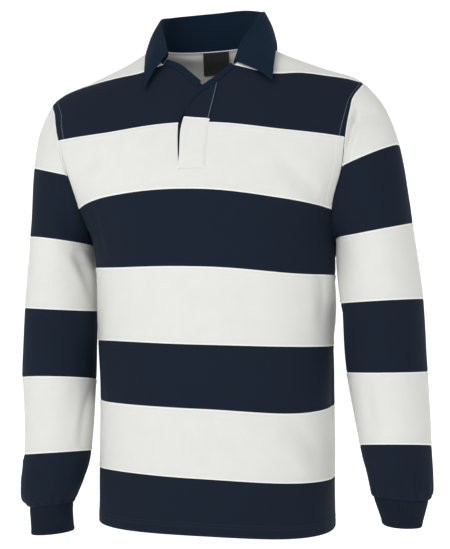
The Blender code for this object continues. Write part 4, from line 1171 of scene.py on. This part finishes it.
x = LABEL_MIDDLE + np.linspace(LABEL_WIDTH / 2, -LABEL_WIDTH / 2, 30)
points = form(*np.meshgrid(x, np.linspace(LABEL_TOP, LABEL_FOOT, 26)), 1)
points[..., 0] -= LABEL_LEAN * (points[..., 1] - points[0, :, 1])
across, down = lengths(points)
edge = np.minimum(np.minimum(across, far_end(across, 1)), np.minimum(down, far_end(down, 0)))
laid("neck_label", points, -LAY_GAP - LABEL_DEPTH, LABEL_WALL, tape(BLACK_TAPE), 0 * down,
     {"cloth": (across, down), "edge": (edge, edge)})


# ---- The collar ---------------------------------------------------------------------------------
# The collar is one piece of navy cotton drill, made double: a stand that rises from the neckline, a
# soft fold, and a leaf that falls outside it to two points. Its edge is topstitched in navy.

Fall = namedtuple("Fall", "fold edge")
COLLAR = rows_of(
    Fall,
    ((-0.0430, -0.0592, -0.0240), (-0.0745, -0.0890, -0.0800)),
    ((-0.0540, -0.0340, 0.0040), (-0.0800, -0.0600, -0.0425)),
    ((-0.0675, 0.0040, 0.0395), (-0.0875, -0.0040, -0.0030)),
    ((-0.0590, 0.0450, 0.0520), (-0.0780, 0.0640, -0.0105)),
    ((-0.0260, 0.0690, 0.0580), (-0.0460, 0.0860, -0.0120)),
    ((0.0100, 0.0750, 0.0600), (0.0060, 0.0920, -0.0110)),
    ((0.0500, 0.0690, 0.0595), (0.0600, 0.0860, -0.0120)),
    ((0.0820, 0.0450, 0.0500), (0.1000, 0.0600, -0.0180)),
    ((0.0910, 0.0040, 0.0370), (0.1150, -0.0060, -0.0080)),
    ((0.0670, -0.0360, -0.0080), (0.1200, -0.0620, -0.0460)),
    ((0.0595, -0.0650, -0.0420), (0.1205, -0.0900, -0.0800)),
)
# Where each row's stand is sewn, in shares of the yoke's neck edge from the right corner to the left.
COLLAR_SEWN = [0.0, 1.0, 2.0, 3.5, 5.0, 6.0, 7.0, 8.5, 10.0, 11.0, 12.0]
NECK_MIDDLE = SIDE_SPAN + BACK_SPAN
DRILL, COLLAR_WALL = 0.0016, 0.0020  # the drill's thickness, and the wall with its turned edges
FOLD_OPEN = 0.0010
STAND_BOW, LEAF_BOW, LEAF_WAVE = 0.0010, 0.0030, 0.0006
COLLAR_LIFT = [0.0, 0.0, 0.0008]     # the stand's foot above the neckline
STAND_ROWS, FOLD_ROWS, LEAF_ROWS = 12, 8, 30

station = spaced(0.0, 10.0, 150, 0.5)
sewn_at = np.interp(station, np.arange(11), COLLAR_SEWN)
from_corner = SHOULDER_SPAN + np.minimum(sewn_at, 2 * NECK_MIDDLE - sewn_at)
right_half, left_half = yoke_half(-1, from_corner), yoke_half(1, from_corner)
neck_seam = np.where((sewn_at <= NECK_MIDDLE)[:, None], right_half, left_half) + COLLAR_LIFT
folds = np.array([fall.fold + fall.edge for fall in COLLAR])
fold, edge_line = np.split(spline(range(11), folds, station), 2, axis=1)
fall = edge_line - fold
away = unit(fall * [1, 1, 0])
up = np.array([0.0, 0.0, 1.0])
face = unit(away * -fall[:, 2:] + up * np.sum(fall * away, axis=1, keepdims=True))
rows = []
for t in np.linspace(0.0, 1.0, STAND_ROWS + 1):
    rows.append(neck_seam + (fold - neck_seam) * t + away * (DRILL / 2 - STAND_BOW * sin(pi * t)))
for angle in np.linspace(pi, 0.0, FOLD_ROWS + 1)[1:]:
    radius = (DRILL + FOLD_OPEN) / 2
    rows.append(fold + away * (DRILL + FOLD_OPEN / 2 + radius * cos(angle)) + up * radius * sin(angle))
leaf_start = rows[-1]
leaf_end = edge_line + face * DRILL / 2
for t in spaced(0.0, 1.0, LEAF_ROWS, 0.5)[1:]:
    rows.append(leaf_start + (leaf_end - leaf_start) * t + face * LEAF_BOW * sin(pi * t))
points = np.array(rows)[:, ::-1]
across, down = lengths(points)
lower = far_end(down, 0)
edge = np.minimum(lower, np.minimum(across, far_end(across, 1)))
relief = stitched(edge, EDGE_STITCH) + LEAF_WAVE * np.sin(26 * across + 1.0) * ease(0.060, 0.0, lower)
points = points + unit(np.cross(*np.gradient(points, axis=(0, 1)))) * relief[..., None]
maps = {"cloth": (across, down), "edge": (edge, edge)}
cloth("collar", pose(points), maps, COLLAR_WALL, navy_drill, held="folded", offset=0.0)


# ---- The studio ---------------------------------------------------------------------------------
# The shirt is filled out as if worn, so it stands clear above a plain pale floor that turns up into
# the wall behind it. Soft light comes from the front, more from the wearer's right than from the left.

FLOOR_Z = -1.05
SWEEP_FRONT, SWEEP_BACK, SWEEP_SIDE, SWEEP_TOP = -4.0, 3.0, 7.0, 6.0
SWEEP_RADIUS = 1.2
SWEEP_GLOW = 0.55        # the light that keeps the backdrop even
AIR_LIGHT = 0.48


def plain(name, colour):
    material = bpy.data.materials.new(name)
    material.use_nodes = True
    shader = material.node_tree.nodes["Principled BSDF"]
    shader.inputs["Base Color"].default_value = colour
    shader.inputs["Roughness"].default_value = 0.95
    shader.inputs["Emission Color"].default_value = colour
    shader.inputs["Emission Strength"].default_value = SWEEP_GLOW
    return material


angle = np.linspace(0.0, pi / 2, 25)
curve = [(SWEEP_BACK + SWEEP_RADIUS * sin(a), SWEEP_RADIUS - SWEEP_RADIUS * cos(a)) for a in angle]
profile = [(SWEEP_FRONT, 0.0)] + curve + [(SWEEP_BACK + SWEEP_RADIUS, SWEEP_TOP)]
sweep_mesh = bpy.data.meshes.new("studio_sweep")
corners = [(x, y, FLOOR_Z + z) for y, z in profile for x in (-SWEEP_SIDE, SWEEP_SIDE)]
strips = [(2 * n, 2 * n + 1, 2 * n + 3, 2 * n + 2) for n in range(len(profile) - 1)]
sweep_mesh.from_pydata(corners, [], strips)
sweep = bpy.data.objects.new("studio_sweep", sweep_mesh)
bpy.context.collection.objects.link(sweep)
sweep_mesh.shade_smooth()
sweep_mesh.materials.append(plain("studio_white", (0.90, 0.90, 0.90, 1.0)))

Softbox = namedtuple("Softbox", "name place size power")
TARGET = np.array([0.0, 0.0, -0.36])
for box in (
    Softbox("key", (-1.3, -2.7, 1.35), 1.8, 21.0),
    Softbox("fill", (1.6, -2.6, 1.0), 2.0, 10.5),
    Softbox("top", (-0.4, -1.8, 1.7), 1.6, 16.0),
):
    bpy.ops.object.light_add(type="AREA", location=box.place)
    lamp = bpy.context.object
    lamp.name = "softbox_" + box.name
    lamp.data.size = box.size
    lamp.data.energy = box.power
    aim = TARGET - np.array(box.place)
    tilt, turn = np.arccos(-aim[2] / np.linalg.norm(aim)), np.arctan2(aim[1], aim[0]) - pi / 2
    lamp.rotation_euler = (tilt, 0.0, turn)

world = bpy.data.worlds.new("studio_air")
world.use_nodes = True
background = world.node_tree.nodes["Background"]
background.inputs["Color"].default_value = (1.0, 1.0, 1.0, 1.0)
background.inputs["Strength"].default_value = AIR_LIGHT
bpy.context.scene.world = world
bpy.context.scene.view_settings.view_transform = "Standard"

CAMERA_TURN = radians(12.0)
CAMERA_AWAY = 2.0
CAMERA_Z = -0.361
CAMERA_SHIFT = 0.013     # to the camera's right
CAMERA_LENS = 84.07
bpy.ops.object.camera_add(
    location=(CAMERA_AWAY * sin(CAMERA_TURN) + CAMERA_SHIFT * cos(CAMERA_TURN),
              -CAMERA_AWAY * cos(CAMERA_TURN) + CAMERA_SHIFT * sin(CAMERA_TURN), CAMERA_Z),
    rotation=(pi / 2, 0.0, CAMERA_TURN),
)
camera = bpy.context.object
camera.data.sensor_width = 36.0
camera.data.lens = CAMERA_LENS
bpy.context.scene.camera = camera
